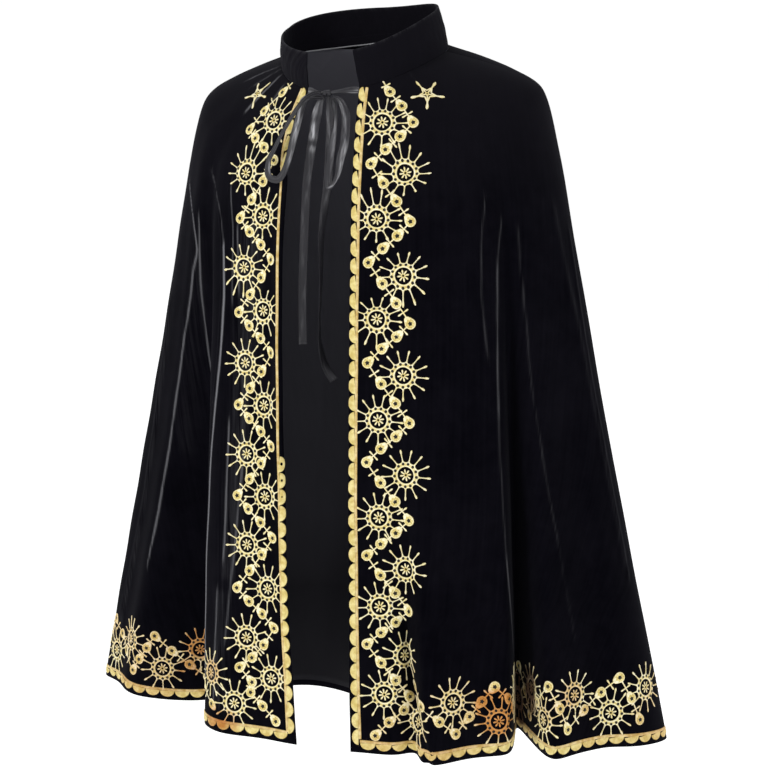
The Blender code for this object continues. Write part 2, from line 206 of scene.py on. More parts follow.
def satinFinish(name, low, high, rough, weight, bottom=None, bright=None):
    # a warp-faced weave: fine lines along the cloth, crossed by fainter ones
    finish = Finish(name)
    cloth, place = finish.clothPlace(), finish.objectPlace()
    warp = finish.wave(cloth, "X", 620.0, 0.6, 1.0)
    weft = finish.wave(cloth, "Y", 420.0, 0.4, 1.0)
    slub = finish.noise(finish.stretched(cloth, 90.0, 6.0), 4.0)
    crumple = finish.noise(finish.stretched(cloth, 260.0, 42.0), 1.0, 2.0)
    cloud = finish.noise(place, 11.0, 2.0)
    colour = finish.mix(finish.ramp(slub * 0.5 + cloud * 0.5, 0.3, 0.7), low, high)
    if bottom:  # painted shade: darker further down, where less light reaches inside the cape
        colour = finish.mix(finish.ramp(finish.heightOf(place), -0.05, -0.68), colour, bottom)
    if bright:  # painted highlight: satin gleams where it is bent
        facet = finish.ramp(crumple, 0.38, 0.62)
        glow = finish.attribute("painted_highlight") * (facet * 1.1 + 0.25)
        colour = finish.mix(finish.ramp(glow, 0.02, 0.9) ** 1.3, colour, bright)
    weave = warp * 0.05 + weft * 0.02 + slub * 0.06 + crumple * (0.5 if bright else 0.0)
    finish.surface(
        Base_Color=colour,
        Roughness=rough + slub * 0.12,
        Normal=finish.bump(weave, 0.5, 0.0012),
        Specular_IOR_Level=weight,
        Anisotropic=0.35,
    )
    return finish.material


threadLook = {
    # painted shade: a warm tint, and places where folds turn the thread away from the light: place, reach,
    # strength
    "warmShadeTint": (0.68, 0.34, 0.15),
    "warmShadeSpots": (
        ((0.199, -0.109, -0.732), 0.03, 0.95), ((0.186, -0.114, -0.715), 0.017, 0.7),
        ((0.201, -0.106, -0.71), 0.014, 0.8), ((0.272, -0.076, -0.706), 0.02, 0.45),
        ((0.286, -0.061, -0.733), 0.013, 0.4), ((-0.202, -0.047, -0.708), 0.028, 0.95),
        ((-0.217, -0.052, -0.743), 0.018, 0.8), ((-0.138, -0.141, -0.708), 0.019, 0.5),
        ((-0.132, -0.148, -0.763), 0.019, 0.6), ((-0.112, -0.153, -0.762), 0.016, 0.5),
    ),
    # deep inside the left fold it is dark
    "shaded": (0.085, 0.03, 0.014),
    "shadedSpots": (
        ((0.197, -0.029, -0.714), 0.018, 1), ((0.2, -0.03, -0.738), 0.018, 1),
        ((0.202, -0.031, -0.755), 0.016, 1), ((0.22, -0.059, -0.703), 0.024, 0.9),
        ((0.222, -0.061, -0.725), 0.02, 0.8),
    ),
    # heights between which the warm painted shade comes in towards the hem
    "warmShadeFrom": -0.62, "warmShadeTo": -0.7,
}


def threadFinish(name, low, high, dark, rim):
    # satin stitch: fine threads side by side across each stroke, with painted shade between the threads
    # and, partly as their own dark outline, at the stroke's edges
    look = threadLook
    finish = Finish(name)
    place = finish.objectPlace()
    strand = finish.wave(finish.clothPlace(), "Y", 380.0, 1.2, 1.5)
    patchy = finish.noise(place, 160.0)
    colour = finish.mix(finish.ramp(patchy, 0.35, 0.65), low, high)
    # painted shade in the grooves between threads and at each stroke's low edges, partly the stitches' own
    # dark outline
    colour = finish.mix((1 - strand) * 0.2, colour, dark)
    colour = finish.mix((1 - finish.ramp(finish.attribute("raised"), 0.0, 0.55)) * rim, colour, dark)
    # painted shade: thread near the hem turns warmer in patches, and at the listed spots, as if turned from
    # the light
    nearHem = finish.ramp(finish.heightOf(place), look["warmShadeFrom"], look["warmShadeTo"])
    warmShade = nearHem * finish.ramp(finish.noise(place, 10.0, 1.0), 0.46, 0.6) * 0.35
    tint = finish.vector("MULTIPLY", colour, look["warmShadeTint"])
    colour = finish.mix(finish.touched(place, look["warmShadeSpots"], warmShade), colour, tint)
    colour = finish.mix(finish.touched(place, look["shadedSpots"], 0.0) * 0.94, colour, look["shaded"])
    finish.surface(
        Base_Color=colour,
        Roughness=0.5 + patchy * 0.2,
        Normal=finish.bump(strand, 0.5, 0.0002),
        Specular_IOR_Level=0.3,
        Sheen_Weight=0.05,
        Sheen_Roughness=0.4,
    )
    return finish.material


velvet = velvetFinish()
# the lining's bottom tone is painted shade
liningSatin = satinFinish(
    "charcoal_satin", (0.115, 0.113, 0.134), (0.132, 0.13, 0.154), 0.5, 0.05,
    bottom=(0.0068, 0.0066, 0.0088))
# the ribbon's bright tone is its painted highlight
ribbonSatin = satinFinish(
    "grey_satin_ribbon", (0.015, 0.0145, 0.018), (0.028, 0.027, 0.032), 0.32, 0.25, bright=(0.6, 0.6, 0.63))
# the piping's pale tone is partly a painted highlight
edgeSatin = satinFinish("satin_piping_painted_highlight", (0.2, 0.2, 0.22), (0.36, 0.36, 0.38), 0.3, 0.5)
# lower and upper tone, the painted shade tone for the edges and between threads, and how much of it at the
# edges
threads = [
    threadFinish("cream_thread", (0.88, 0.79, 0.42), (0.98, 0.95, 0.72), (0.52, 0.36, 0.07), 0.8),
    threadFinish("pale_gold_thread", (0.66, 0.51, 0.15), (0.88, 0.76, 0.34), (0.22, 0.14, 0.02), 0.7),
    threadFinish("dark_ground", (0.006, 0.004, 0.002), (0.014, 0.009, 0.005), (0.004, 0.003, 0.002), 0.3),
    threadFinish("border_thread", (0.58, 0.39, 0.11), (0.86, 0.69, 0.36), (0.3, 0.18, 0.04), 0.6),
]
cream, pale, dark, edging = range(4)
print("finishes made")


def readTable(rows, at):
    # columns after the first, read on smooth curves that never overshoot
    table = np.array(rows, float)
    knots, values = table[:, 0], table[:, 1:]
    at = np.clip(np.asarray(at, float), knots[0], knots[-1])
    step = np.diff(knots)[:, None]
    slope = np.diff(values, axis=0) / step
    sameWay = slope[:-1] * slope[1:] > 0
    safe = np.where(sameWay, slope[:-1] * slope[1:], 1.0)
    heavy, light = 2 * step[1:] + step[:-1], step[1:] + 2 * step[:-1]
    mean = (heavy + light) * safe / (heavy * slope[1:] + light * slope[:-1] + (~sameWay))
    tangent = np.vstack([slope[:1], np.where(sameWay, mean, 0.0), slope[-1:]])
    index = np.clip(np.searchsorted(knots, at, side="right") - 1, 0, len(knots) - 2)
    width = (knots[index + 1] - knots[index])[..., None]
    part = (at - knots[index])[..., None] / width
    return (
        (1 + 2 * part) * (1 - part) ** 2 * values[index]
        + part * (1 - part) ** 2 * width * tangent[index]
        + part**2 * (3 - 2 * part) * values[index + 1]
        + part**2 * (part - 1) * width * tangent[index + 1]
    )


def readLine(rows, at):
    return readTable(rows, at)[..., 0]


def runAlong(points, axis=0):
    # distance along rows of points, from nothing at the first
    run = np.cumsum(np.linalg.norm(np.diff(points, axis=axis), axis=-1), axis=axis)
    return np.concatenate([np.zeros_like(run.take([0], axis)), run], axis)


def unit(vectors):
    return vectors / np.linalg.norm(vectors, axis=-1, keepdims=True)


# the cape's form, as the CAD has it, with the smaller creases of the velvet
cape = {
    # share of the way down, half width, front depth, middle, back depth, front z, side z, back z
    "sections": (
        (0, 0.0967, 0.1045, 0, 0.062, -0.047, 0, 0.014),
        (0.06, 0.137, 0.114, 0.002, 0.084, -0.088, -0.011, -0.018),
        (0.12, 0.1715, 0.12, 0.004, 0.102, -0.131, -0.023, -0.068),
        (0.18, 0.204, 0.124, 0.006, 0.11, -0.176, -0.042, -0.118),
        (0.25, 0.225, 0.127, 0.008, 0.119, -0.228, -0.112, -0.172),
        (0.36, 0.246, 0.131, 0.011, 0.131, -0.31, -0.218, -0.262),
        (0.52, 0.273, 0.137, 0.016, 0.141, -0.428, -0.36, -0.402),
        (0.7, 0.305, 0.144, 0.021, 0.153, -0.56, -0.52, -0.564),
        (0.86, 0.3345, 0.15, 0.026, 0.164, -0.676, -0.66, -0.708),
        (1, 0.36, 0.156, 0.03, 0.175, -0.778, -0.783, -0.831),
    ),
    "pinch": ((0, 0), (0.2, 0), (0.5, 0.03), (1, 0.06)),
    # share, wearer's left edge, wearer's right edge
    "frontEdges": (
        (0, 0.0305, 0.031),
        (0.07, 0.0305, 0.0445),
        (0.17, 0.03, 0.052),
        (0.46, 0.0308, 0.049),
        (0.72, 0.034, 0.0415),
        (0.86, 0.0365, 0.0345),
        (1, 0.04, 0.0255),
    ),
    "foldLevels": (0, 0.2, 0.4, 0.6, 0.8, 1),
    # angle above, angle at the hem, half width before and after, depth at each level
    "folds": (
        (19, 18.3, 2.5, 1.4, (0, 0, 0, -0.001, -0.005, -0.011)),
        (24, 21.8, 2.2, 6.5, (0, 0, 0.001, 0.004, 0.014, 0.027)),
        (56, 43.3, 3, 2.5, (0, 0, -0.012, -0.03, -0.055, -0.085)),
        (61, 46.9, 2, 7, (0, 0, 0.004, 0.006, 0.012, 0.019)),
        (74, 64, 6, 6, (0, 0, 0, -0.004, -0.006, -0.007)),
        (104, 106, 8, 8, (0, 0, -0.004, -0.01, -0.02, -0.032)),
        (124, 124, 8, 8, (0, 0, 0.003, 0.006, 0.01, 0.016)),
        (142, 144, 7, 7, (0, 0, -0.006, -0.014, -0.026, -0.04)),
        (160, 163, 8, 8, (0, 0, 0.003, 0.006, 0.01, 0.014)),
        (182, 184, 8, 8, (0, 0, -0.004, -0.01, -0.02, -0.03)),
        (202, 203, 8, 8, (0, 0, 0.003, 0.006, 0.011, 0.016)),
        (222, 221, 7, 7, (0, 0, -0.006, -0.016, -0.028, -0.044)),
        (240, 240, 8, 8, (0, 0, 0.003, 0.006, 0.01, 0.014)),
        (258, 257, 8, 8, (0, 0, -0.004, -0.008, -0.018, -0.028)),
        (279, 281, 7, 7, (0, 0, 0.002, 0.006, 0.009, 0.011)),
        (306, 302, 6, 6, (0, 0.004, 0.007, 0.008, 0.008, 0.008)),
        (312, 326.4, 15, 4, (0, -0.004, -0.02, -0.042, -0.062, -0.086)),
        (325, 340, 6, 6, (0, 0.002, 0.004, 0.006, 0.009, 0.013)),
        (345.5, 356, 2.5, 3, (0, 0.004, 0.008, 0.007, 0.003, 0)),
    ),
    # how much lower the hem hangs: angle, drop
    "hemSwags": ((0, 0), (296, 0), (306, 0.0055), (316, 0.0085), (322, 0.005), (330, 0), (360, 0)),
    "hemSwagPower": 5,
    # creases: path of (share, angle), half width and height in millimetres, and how brightly the painted
    # highlight makes the pile shine
    "creases": (
        (((0.281, 53.1), (0.325, 50.1), (0.435, 46.9), (0.545, 44.9), (0.665, 43.4), (0.723, 43),
          (0.848, 42.8), (0.9, 42.8)), 1.9, 0.7, 0.18),
        (((0.33, 49.9), (0.435, 46.9), (0.52, 45.3)), 1.7, 0, 0.15),
        (((0.72, 43), (0.86, 42.8)), 1.5, 0, 0.22),
        (((0.301, 58.2), (0.355, 57.2), (0.432, 56.5), (0.516, 55.8), (0.576, 56),
          (0.7, 57)), 1.8, 0.6, 0.12),
        (((0.242, 48.9), (0.285, 45.8), (0.378, 43.6), (0.44, 43.9)), 1.8, 0.5, 0.15),
        (((0.34, 85.9), (0.485, 82.9), (0.575, 83.2), (0.78, 82.9)), 3, 1, 0.08),
        (((0.7, 57), (0.84, 58)), 2.2, 0.6, 0.05),
        (((0.8, 17.5), (0.884, 18.4), (0.931, 19.8), (0.971, 21.1), (1, 21.6)), 5, -8, 0),
        (((0.215, 309.8), (0.221, 311.9), (0.23, 315.5), (0.244, 319.5), (0.261, 321.6),
          (0.281, 323.5)), 1.9, 0.7, 0.25),
        (((0.281, 323.5), (0.307, 324.8), (0.354, 326.4), (0.443, 326.8), (0.541, 326.2), (0.7, 328),
          (0.93, 332)), 1.9, 0.9, 0.95),
        (((0.261, 291.9), (0.275, 296.9), (0.289, 302.2), (0.309, 305.4), (0.324, 306.6),
          (0.354, 305.2), (0.408, 304.4),
          (0.486, 302.9), (0.684, 302.2), (0.8, 301)), 1.7, 0.7, 0.55),
        (((0.276, 305.8), (0.295, 306.8), (0.315, 307.5), (0.369, 308.6), (0.431, 310.9), (0.48, 312.5),
          (0.53, 314.5)), 1.6, 0.5, 0.45),
        (((0.244, 328.5), (0.283, 330), (0.329, 331.4)), 1.5, 0.3, 0.4),
        (((0.199, 322.4), (0.254, 327), (0.348, 329.6)), 1.5, 0.3, 0.35),
        (((0.522, 332.2), (0.641, 334.2), (0.733, 335.4)), 1.6, 0.3, 0.45),
        (((0.56, 337.5), (0.7, 338), (0.86, 338.5)), 1.6, 0.3, 0.35),
        (((0.78, 334.5), (0.96, 337)), 1.7, 0.3, 0.4),
        (((0.43, 288), (0.7, 290), (0.93, 286)), 5, 1.6, 0.09),
        (((0.3, 76), (0.52, 80), (0.76, 81)), 5, 1.2, 0.04),
        (((0.25, 118), (0.48, 124), (0.9, 127)), 3, 1.3, 0.25),
        (((0.32, 152), (0.6, 158), (0.93, 160)), 2.8, 1.1, 0.27),
        (((0.22, 176), (0.52, 174), (0.76, 171)), 2.6, 0.9, 0.2),
        (((0.28, 204), (0.56, 205), (0.95, 207)), 3, 1.3, 0.27),
        (((0.24, 232), (0.5, 238), (0.86, 243)), 2.8, 1.1, 0.25),
        (((0.35, 262), (0.64, 266), (0.88, 268)), 2.8, 1, 0.15),
        (((0.42, 134), (0.7, 133)), 2.4, 0.6, 0.16),
        (((0.5, 216), (0.8, 214)), 2.4, 0.6, 0.16),
        # gathers under the collar
        (((0, 298), (0.06, 298.5)), 1.8, 0.7, 0.25),
        (((0.009, 291), (0.039, 289.2), (0.074, 288.9)), 1.8, 0.7, 0.4),
        (((0.007, 306.8), (0.029, 309), (0.059, 310.2), (0.095, 310.9)), 1.8, 0.9, 0.55),
        (((0.016, 318.8), (0.036, 320.4), (0.059, 322.8)), 1.7, 0.7, 0.4),
        (((0, 50), (0.045, 48)), 2.2, 0.4, 0.05),
        (((0, 140), (0.06, 136)), 2.4, 0.7, 0.08),
        (((0, 162), (0.05, 160)), 2.2, 0.6, 0.07),
        (((0, 190), (0.055, 192)), 2.2, 0.6, 0.07),
        (((0, 214), (0.06, 218)), 2.4, 0.7, 0.08),
        # broad painted highlights, with no crease, over a wider strip
        (((0.22, 331), (0.45, 333), (0.76, 335)), 17, 0, 0.13),
        (((0.78, 334), (0.96, 337)), 15, 0, 0.1),
        (((0.3, 304), (0.62, 304)), 16, 0, 0.03),
        (((0.4, 160), (0.76, 160)), 24, 0, 0.06),
        (((0.4, 205), (0.76, 206)), 24, 0, 0.06),
    ),
    "clothLength": 0.85,
    "velvetWall": 0.0016,
    "liningDepth": 0.0029,
    "liningWall": 0.0004,
    "softEdge": 0.0005,
    "ripple": 0.0006,
}


def fadeEnds(share, start, end):
    # full between the ends, gone just beyond them
    soft = 0.022
    rise = np.clip((share - start) / soft + 0.6, 0, 1) if start > 0 else np.ones_like(share)
    fall = np.clip((end - share) / soft + 0.6, 0, 1) if end < 1 else np.ones_like(share)
    both = rise * fall
    return both * both * (3 - 2 * both)


def ringForm(ring, turn):
    # ring has a section's columns; ahead and across are the way the turn looks, deep the form's reach ahead
    halfWidth, front, middle, back, frontZ, sideZ, backZ = np.moveaxis(ring, -1, 0)
    ahead, across = np.cos(turn), np.sin(turn)
    deep = np.where(ahead > 0, front + middle, back - middle)
    z = sideZ + (frontZ - backZ) / 2 * ahead + ((frontZ + backZ) / 2 - sideZ) * ahead**2
    return ahead, across, halfWidth, middle, deep, z


def capePoint(theta, share):
    # outer face of the velvet, and the strength of the painted highlight that each crease gets
    theta, share = np.broadcast_arrays(np.asarray(theta, float), np.asarray(share, float))
    turn = np.radians(theta)
    ahead, across, halfWidth, middle, deep, z = ringForm(readTable(cape["sections"], share), turn)
    drawnIn = 1 - readLine(cape["pinch"], share) * np.sin(2 * turn) ** 2
    x = halfWidth * across * drawnIn
    y = middle - deep * ahead * drawnIn
    z = z - readLine(cape["hemSwags"], theta) * share ** cape["hemSwagPower"]
    push, shine = np.zeros_like(x), np.zeros_like(x)
    for above, hem, before, after, depths in cape["folds"]:
        depth = readLine(list(zip(cape["foldLevels"], depths)), share)
        away = theta - (above + (hem - above) * np.clip((share - 0.2) / 0.8, 0, 1))
        push = push + depth * np.exp(-((away / np.where(away < 0, before, after)) ** 2))
    reach = np.hypot(halfWidth * ahead, deep * across)
    near = 0.01
    for path, half, height, light in cape["creases"]:
        drift = np.radians(readLine(path, share + near) - readLine(path, share - near)) / (2 * near)
        slant = drift * reach / cape["clothLength"]
        away = np.radians(theta - readLine(path, share)) * reach / (half * mm * np.sqrt(1 + slant**2))
        fade = fadeEnds(share, path[0][0], path[-1][0])
        push = push + height * mm * np.exp(-(away**2)) * fade
        shine = shine + light * np.exp(-((away - 0.7) ** 2) * 1.6) * fade
    ripple = np.sin(x * 61 + z * 23) * np.sin(z * 37 - x * 19) + 0.6 * np.sin(x * 113 - z * 29 + 1.7)
    push = push + cape["ripple"] * ripple * np.clip(share * 6, 0, 1)
    outward = unit(np.stack([across / halfWidth, -ahead / deep, np.zeros_like(x)], -1))
    return np.stack([x, y, z], -1) + push[..., None] * outward, np.clip(shine, 0, 1)


def edgeAngle(share, side):
    gap = readTable(cape["frontEdges"], share)[..., side]
    return np.degrees(np.arcsin(gap / readTable(cape["sections"], share)[..., 0]))


def panelLevels(rows, top, bottom):
    # rows lie closer where the creases run aslant
    fine = np.linspace(top, bottom, 401)
    crowd = 1 + 2.2 * np.exp(-(((fine - 0.25) / 0.08) ** 2))
    run = np.concatenate([[0], np.cumsum((crowd[1:] + crowd[:-1]) / 2)])
    return np.interp(np.linspace(0, run[-1], rows + 1), run, fine)


def makePanel(start, end, rows, shares, top=0.0, bottom=1.0):
    # a panel's grid of points, evenly spaced along the cloth at each level, from the panel's first edge
    levels = panelLevels(rows, top, bottom)
    start, end = (edge(levels) if callable(edge) else np.full_like(levels, edge) for edge in (start, end))
    fine = start[:, None] + (end - start)[:, None] * np.linspace(0, 1, 481)
    run = runAlong(capePoint(fine, levels[:, None])[0], 1)
    theta = np.array([np.interp(shares * r[-1], r, f) for r, f in zip(run, fine)])
    points, shine = capePoint(theta, levels[:, None])
    return {"shares": shares, "points": points, "shine": shine, "rows": np.arange(rows + 1)}


def measurePanel(panel):
    # normals, and lengths along the cloth from the front edge, down it and up from the hem
    points = panel["points"]
    normal = unit(np.cross(np.gradient(points, axis=0), np.gradient(points, axis=1)))
    middle = points.reshape(-1, 3).mean(0) * [1, 1, 0]
    outward = ((points - middle) * [1, 1, 0] * normal).sum(-1).mean()
    panel["normals"] = normal if outward > 0 else -normal
    panel["across"] = runAlong(points, 1)
    panel["width"] = panel["across"][:, -1]
    panel["above"] = runAlong(points[::-1])[::-1]
    panel["down"] = panel["above"][0, 0] - panel["above"][:, 0]
    return panel


def setFloats(piece, name, values):
    layer = piece.data.attributes.new(name, "FLOAT", "POINT")
    layer.data.foreach_set("value", np.asarray(values, np.float32))


def meshFrom(bm, name, materials):
    mesh = bpy.data.meshes.new(name)
    bm.to_mesh(mesh)
    bm.free()
    mesh.shade_smooth()
    for material in materials:
        mesh.materials.append(material)
    made = bpy.data.objects.new(name, mesh)
    bpy.context.scene.collection.objects.link(made)
    return made


def gridPiece(name, points, materials, cloth, outward, shine=None):
    # a sheet with points and flat cloth places given row by row; outward is the way its middle faces
    rows, columns = points.shape[0] - 1, points.shape[1] - 1
    cloth = np.stack(np.broadcast_arrays(*cloth), -1)
    bm = bmesh.new()
    bmesh.ops.create_grid(bm, x_segments=columns, y_segments=rows, size=0.5)
    layer = bm.loops.layers.uv.new("cloth")
    spots = [(round((0.5 - v.co.y) * rows), round((v.co.x + 0.5) * columns)) for v in bm.verts]
    for vert, spot in zip(bm.verts, spots):
        vert.co = points[spot]
    bm.verts.index_update()
    for face in bm.faces:
        for loop in face.loops:
            loop[layer].uv = cloth[spots[loop.vert.index]]
    bm.normal_update()
    row, column = points.shape[0] // 2, points.shape[1] // 2
    right = points[row, column + 1] - points[row, column]
    upward = points[row - 1, column] - points[row, column]
    if np.cross(right, upward) @ outward < 0:
        bmesh.ops.reverse_faces(bm, faces=bm.faces[:])
    made = meshFrom(bm, name, materials)
    # the painted highlight of each point is stored on the mesh
    if shine is not None:
        setFloats(made, "painted_highlight", [shine[spot] for spot in spots])
    return made


def thicken(piece, wall, innerMaterial=0, edge=0.0):
    solid = piece.modifiers.new("wall", "SOLIDIFY")
    solid.thickness, solid.offset = wall, -1
    solid.material_offset = innerMaterial
    if edge:
        soft = piece.modifiers.new("edge", "BEVEL")
        soft.width, soft.segments, soft.limit_method, soft.angle_limit = edge, 2, "ANGLE", math.radians(60)


def wear(piece, node=None):
    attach(piece, "root")
    if node:
        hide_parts(node)


def dressPanel(name, panel, materials):
    points = panel["points"]
    middle = panel["normals"][points.shape[0] // 2, points.shape[1] // 2]
    cloth = (panel["across"], panel["above"])
    piece = gridPiece("velvet_" + name, points, materials, cloth, middle, panel["shine"])
    thicken(piece, cape["velvetWall"], len(materials) - 1, cape["softEdge"])
    wear(piece, name)


# how the wearer's right front edge rolls under: distance down the edge, share of the full roll
edgeRoll = {
    "radius": 4.4 * mm,
    "cloth": 9.0 * mm,
    "table": ((0, 0), (0.07, 0), (0.115, 0.9), (0.2, 1), (0.36, 1), (0.5, 0.55), (0.6, 0.2), (0.75, 0)),
}


def placeAt(points, run, distance):
    return np.stack([np.interp(distance, run, points[:, k]) for k in range(3)], -1)


def rollEdge(panel):
    # the first columns turn under round a small circle, so that the edge shows where the CAD has it
    points, radius = panel["points"], edgeRoll["radius"]
    normal = -unit(np.cross(np.gradient(points, axis=0), np.gradient(points, axis=1)))
    for row, drop in enumerate(runAlong(points[:, 0])):
        amount = readTable(edgeRoll["table"], drop)[0]
        if amount < 0.02:
            continue
        arc = radius + (edgeRoll["cloth"] - radius) * amount  # cloth that lies beyond the start of the roll
        run = runAlong(points[row])
        wanted = panel["shares"] * (run[-1] - radius + arc)
        start = placeAt(points[row], run, radius)
        outward = unit(placeAt(points[row], run, 0.0) - start)
        facing = normal[row, 4]
        facing = unit(facing - (facing @ outward) * outward)
        spread = radius / max(amount, 0.2)
        angle = ((arc - wanted) / spread)[:, None]
        rolled = start + outward * (spread * np.sin(angle)) - facing * (spread * (1 - np.cos(angle)))
        flat = placeAt(points[row], run, wanted - arc + radius)
        points[row] = np.where((wanted < arc)[:, None], rolled, flat)
    return panel


# close columns along the front edge, where the cloth turns, then even ones
frontShares = np.concatenate([np.linspace(0, 0.026, 13), np.linspace(0.026, 1, 236)[1:]])
leftPanel = measurePanel(makePanel(lambda s: edgeAngle(s, 0), 90.0, 140, frontShares))
rightPanel = measurePanel(rollEdge(makePanel(lambda s: 360 - edgeAngle(s, 1), 270.0, 140, frontShares)))
backPanel = measurePanel(makePanel(90.0, 270.0, 110, np.linspace(0, 1, 331)))
dressPanel("front_left", leftPanel, [velvet, liningSatin])
dressPanel("front_right", rightPanel, [velvet, liningSatin])
dressPanel("back", backPanel, [velvet])


def makeLining():
    panel = measurePanel(makePanel(90.0, 270.0, 130, np.linspace(0.008, 0.992, 131), 0.006, 0.99))
    across, above, normals = panel["across"], panel["above"], panel["normals"]
    # loose upright ripples that only ever stand away from the velvet
    ripple = 0.5 + 0.5 * np.sin(across * 46 + 2.2 * np.sin(above * 3.1) + 0.8)
    ripple = ripple * (0.35 + 0.65 * np.clip(above * 3, 0, 1)) * 0.0016
    panel["points"] = panel["points"] - normals * (cape["liningDepth"] + ripple)[..., None]
    inward = -normals[65, 65]
    piece = gridPiece("satin_back_lining", panel["points"], [liningSatin], (across, above), inward)
    thicken(piece, cape["liningWall"])
    wear(piece, "back_lining")


makeLining()
print("panels and lining hung")

# the collar's rim has a section's columns; it leans over and its left side is higher
collarLook = {
    "rim": (0.0905, 0.1055, -0.0085, 0.0575, -0.0062, 0.0318, 0.057),
    "rimGaps": (0.0266, 0.0276),
    "lean": 0.0037,
    "leftRise": 0.0128,
    "bulge": 0.0012,
    "wall": 0.0026,
    "tuck": 0.012,
    "softEdge": 0.0011,
    "dimple": 0.00022,
}


def collarPoint(turn, rise, inset=0.0):
    base, rim = np.array(cape["sections"][0][1:]), np.array(collarLook["rim"])
    ahead, across, halfWidth, middle, deep, z = ringForm(base + (rim - base) * rise[..., None], turn)
    swell = collarLook["bulge"] * np.sin(math.pi * np.clip(rise, 0, 1)) - inset
    x = (halfWidth + swell) * across - collarLook["lean"] * rise
    y = middle - (deep + swell) * ahead
    return np.stack([x, y, z + collarLook["leftRise"] * rise * np.maximum(across, 0) ** 2], -1)


def makeCollar():
    rises = np.linspace(1, -collarLook["tuck"], 25)[:, None]

    def rising(base, rim):
        return base + (rim - base) * rises

    halfWidth = rising(cape["sections"][0][1], collarLook["rim"][0])
    gaps = zip(cape["frontEdges"][0][1:], collarLook["rimGaps"])
    left, right = (np.arcsin(rising(base, rim) / halfWidth) for base, rim in gaps)
    turn = left + (2 * math.pi - right - left) * np.linspace(0, 1, 241)[None, :]
    rise = np.broadcast_to(rises, turn.shape)
    points = collarPoint(turn, rise)
    # the padded pile dimples a little, and a painted highlight lightens the rim and the wearer's right
    dimple = np.sin(turn * 41 + rise * 5) * np.sin(turn * 17 - rise * 9)
    dimple = (dimple + 0.5 * np.sin(turn * 73 + rise * 14)) * np.sin(math.pi * np.clip(rise, 0, 1))
    outward = unit((points - [0, collarLook["rim"][2], 0]) * [1, 1, 0])
    points = points + outward * (collarLook["dimple"] * dimple)[..., None]
    shine = 0.12 * np.exp(-(((1 - rise) / 0.05) ** 2)) + 0.045 * np.clip((turn - 4.7) / 0.5, 0, 1)
    cloth = (runAlong(points, 1), rises * 0.045)
    piece = gridPiece("velvet_collar", points, [velvet], cloth, points[12, 120] * [1, 1, 0], shine)
    thicken(piece, collarLook["wall"], edge=collarLook["softEdge"])
    wear(piece, "collar")


makeCollar()
print("collar set on")

# inside the back neck: a narrow velvet facing whose lower edge is piped with satin
neckEdge = {
    # angle round the neck, height of the piping as a share of the collar's rise
    "line": (
        (150, 0.06), (183.2, 0.05), (190.5, 0.025), (197.5, -0.005), (204.8, -0.03), (212, -0.06),
        (219.5, -0.09), (227.8, -0.11), (236.5, -0.125), (246.8, -0.115), (262, -0.1),
    ),
    "facingRise": 0.25,
    "inset": 0.0031,
    "facingWall": 0.0003,
    "piping": 0.0007,
    "pipingInset": 0.0035,
}


def makeNeckEdge():
    degrees = np.linspace(150, 262, 91)
    turn = np.radians(degrees)
    lower = readLine(neckEdge["line"], degrees)
    rises = lower + np.linspace(neckEdge["facingRise"], 0, 7)[:, None]
    points = collarPoint(np.broadcast_to(turn, rises.shape), rises, neckEdge["inset"])
    run = runAlong(points[-1])
    inward = points[3, 45] * [-1, -1, 0]
    cloth = (run[None, :], rises * 0.043)
    piece = gridPiece("velvet_neck_facing", points, [velvet], cloth, inward, np.zeros(rises.shape))
    thicken(piece, neckEdge["facingWall"])
    wear(piece)
    # the piping: a thin round cord along the lower edge
    around = np.linspace(0, 2 * math.pi, 9)[:, None]
    middle = collarPoint(turn, lower, neckEdge["pipingInset"])
    aside = unit(middle * [-1, -1, 0])
    rim = np.cos(around)[..., None] * aside + np.sin(around)[..., None] * up
    cord = middle + neckEdge["piping"] * rim
    cloth = (around * neckEdge["piping"], run[None, :])
    piping = gridPiece("satin_neck_piping", cord, [edgeSatin], cloth, -aside[45])
    wear(piping)


makeNeckEdge()
print("neck finished")

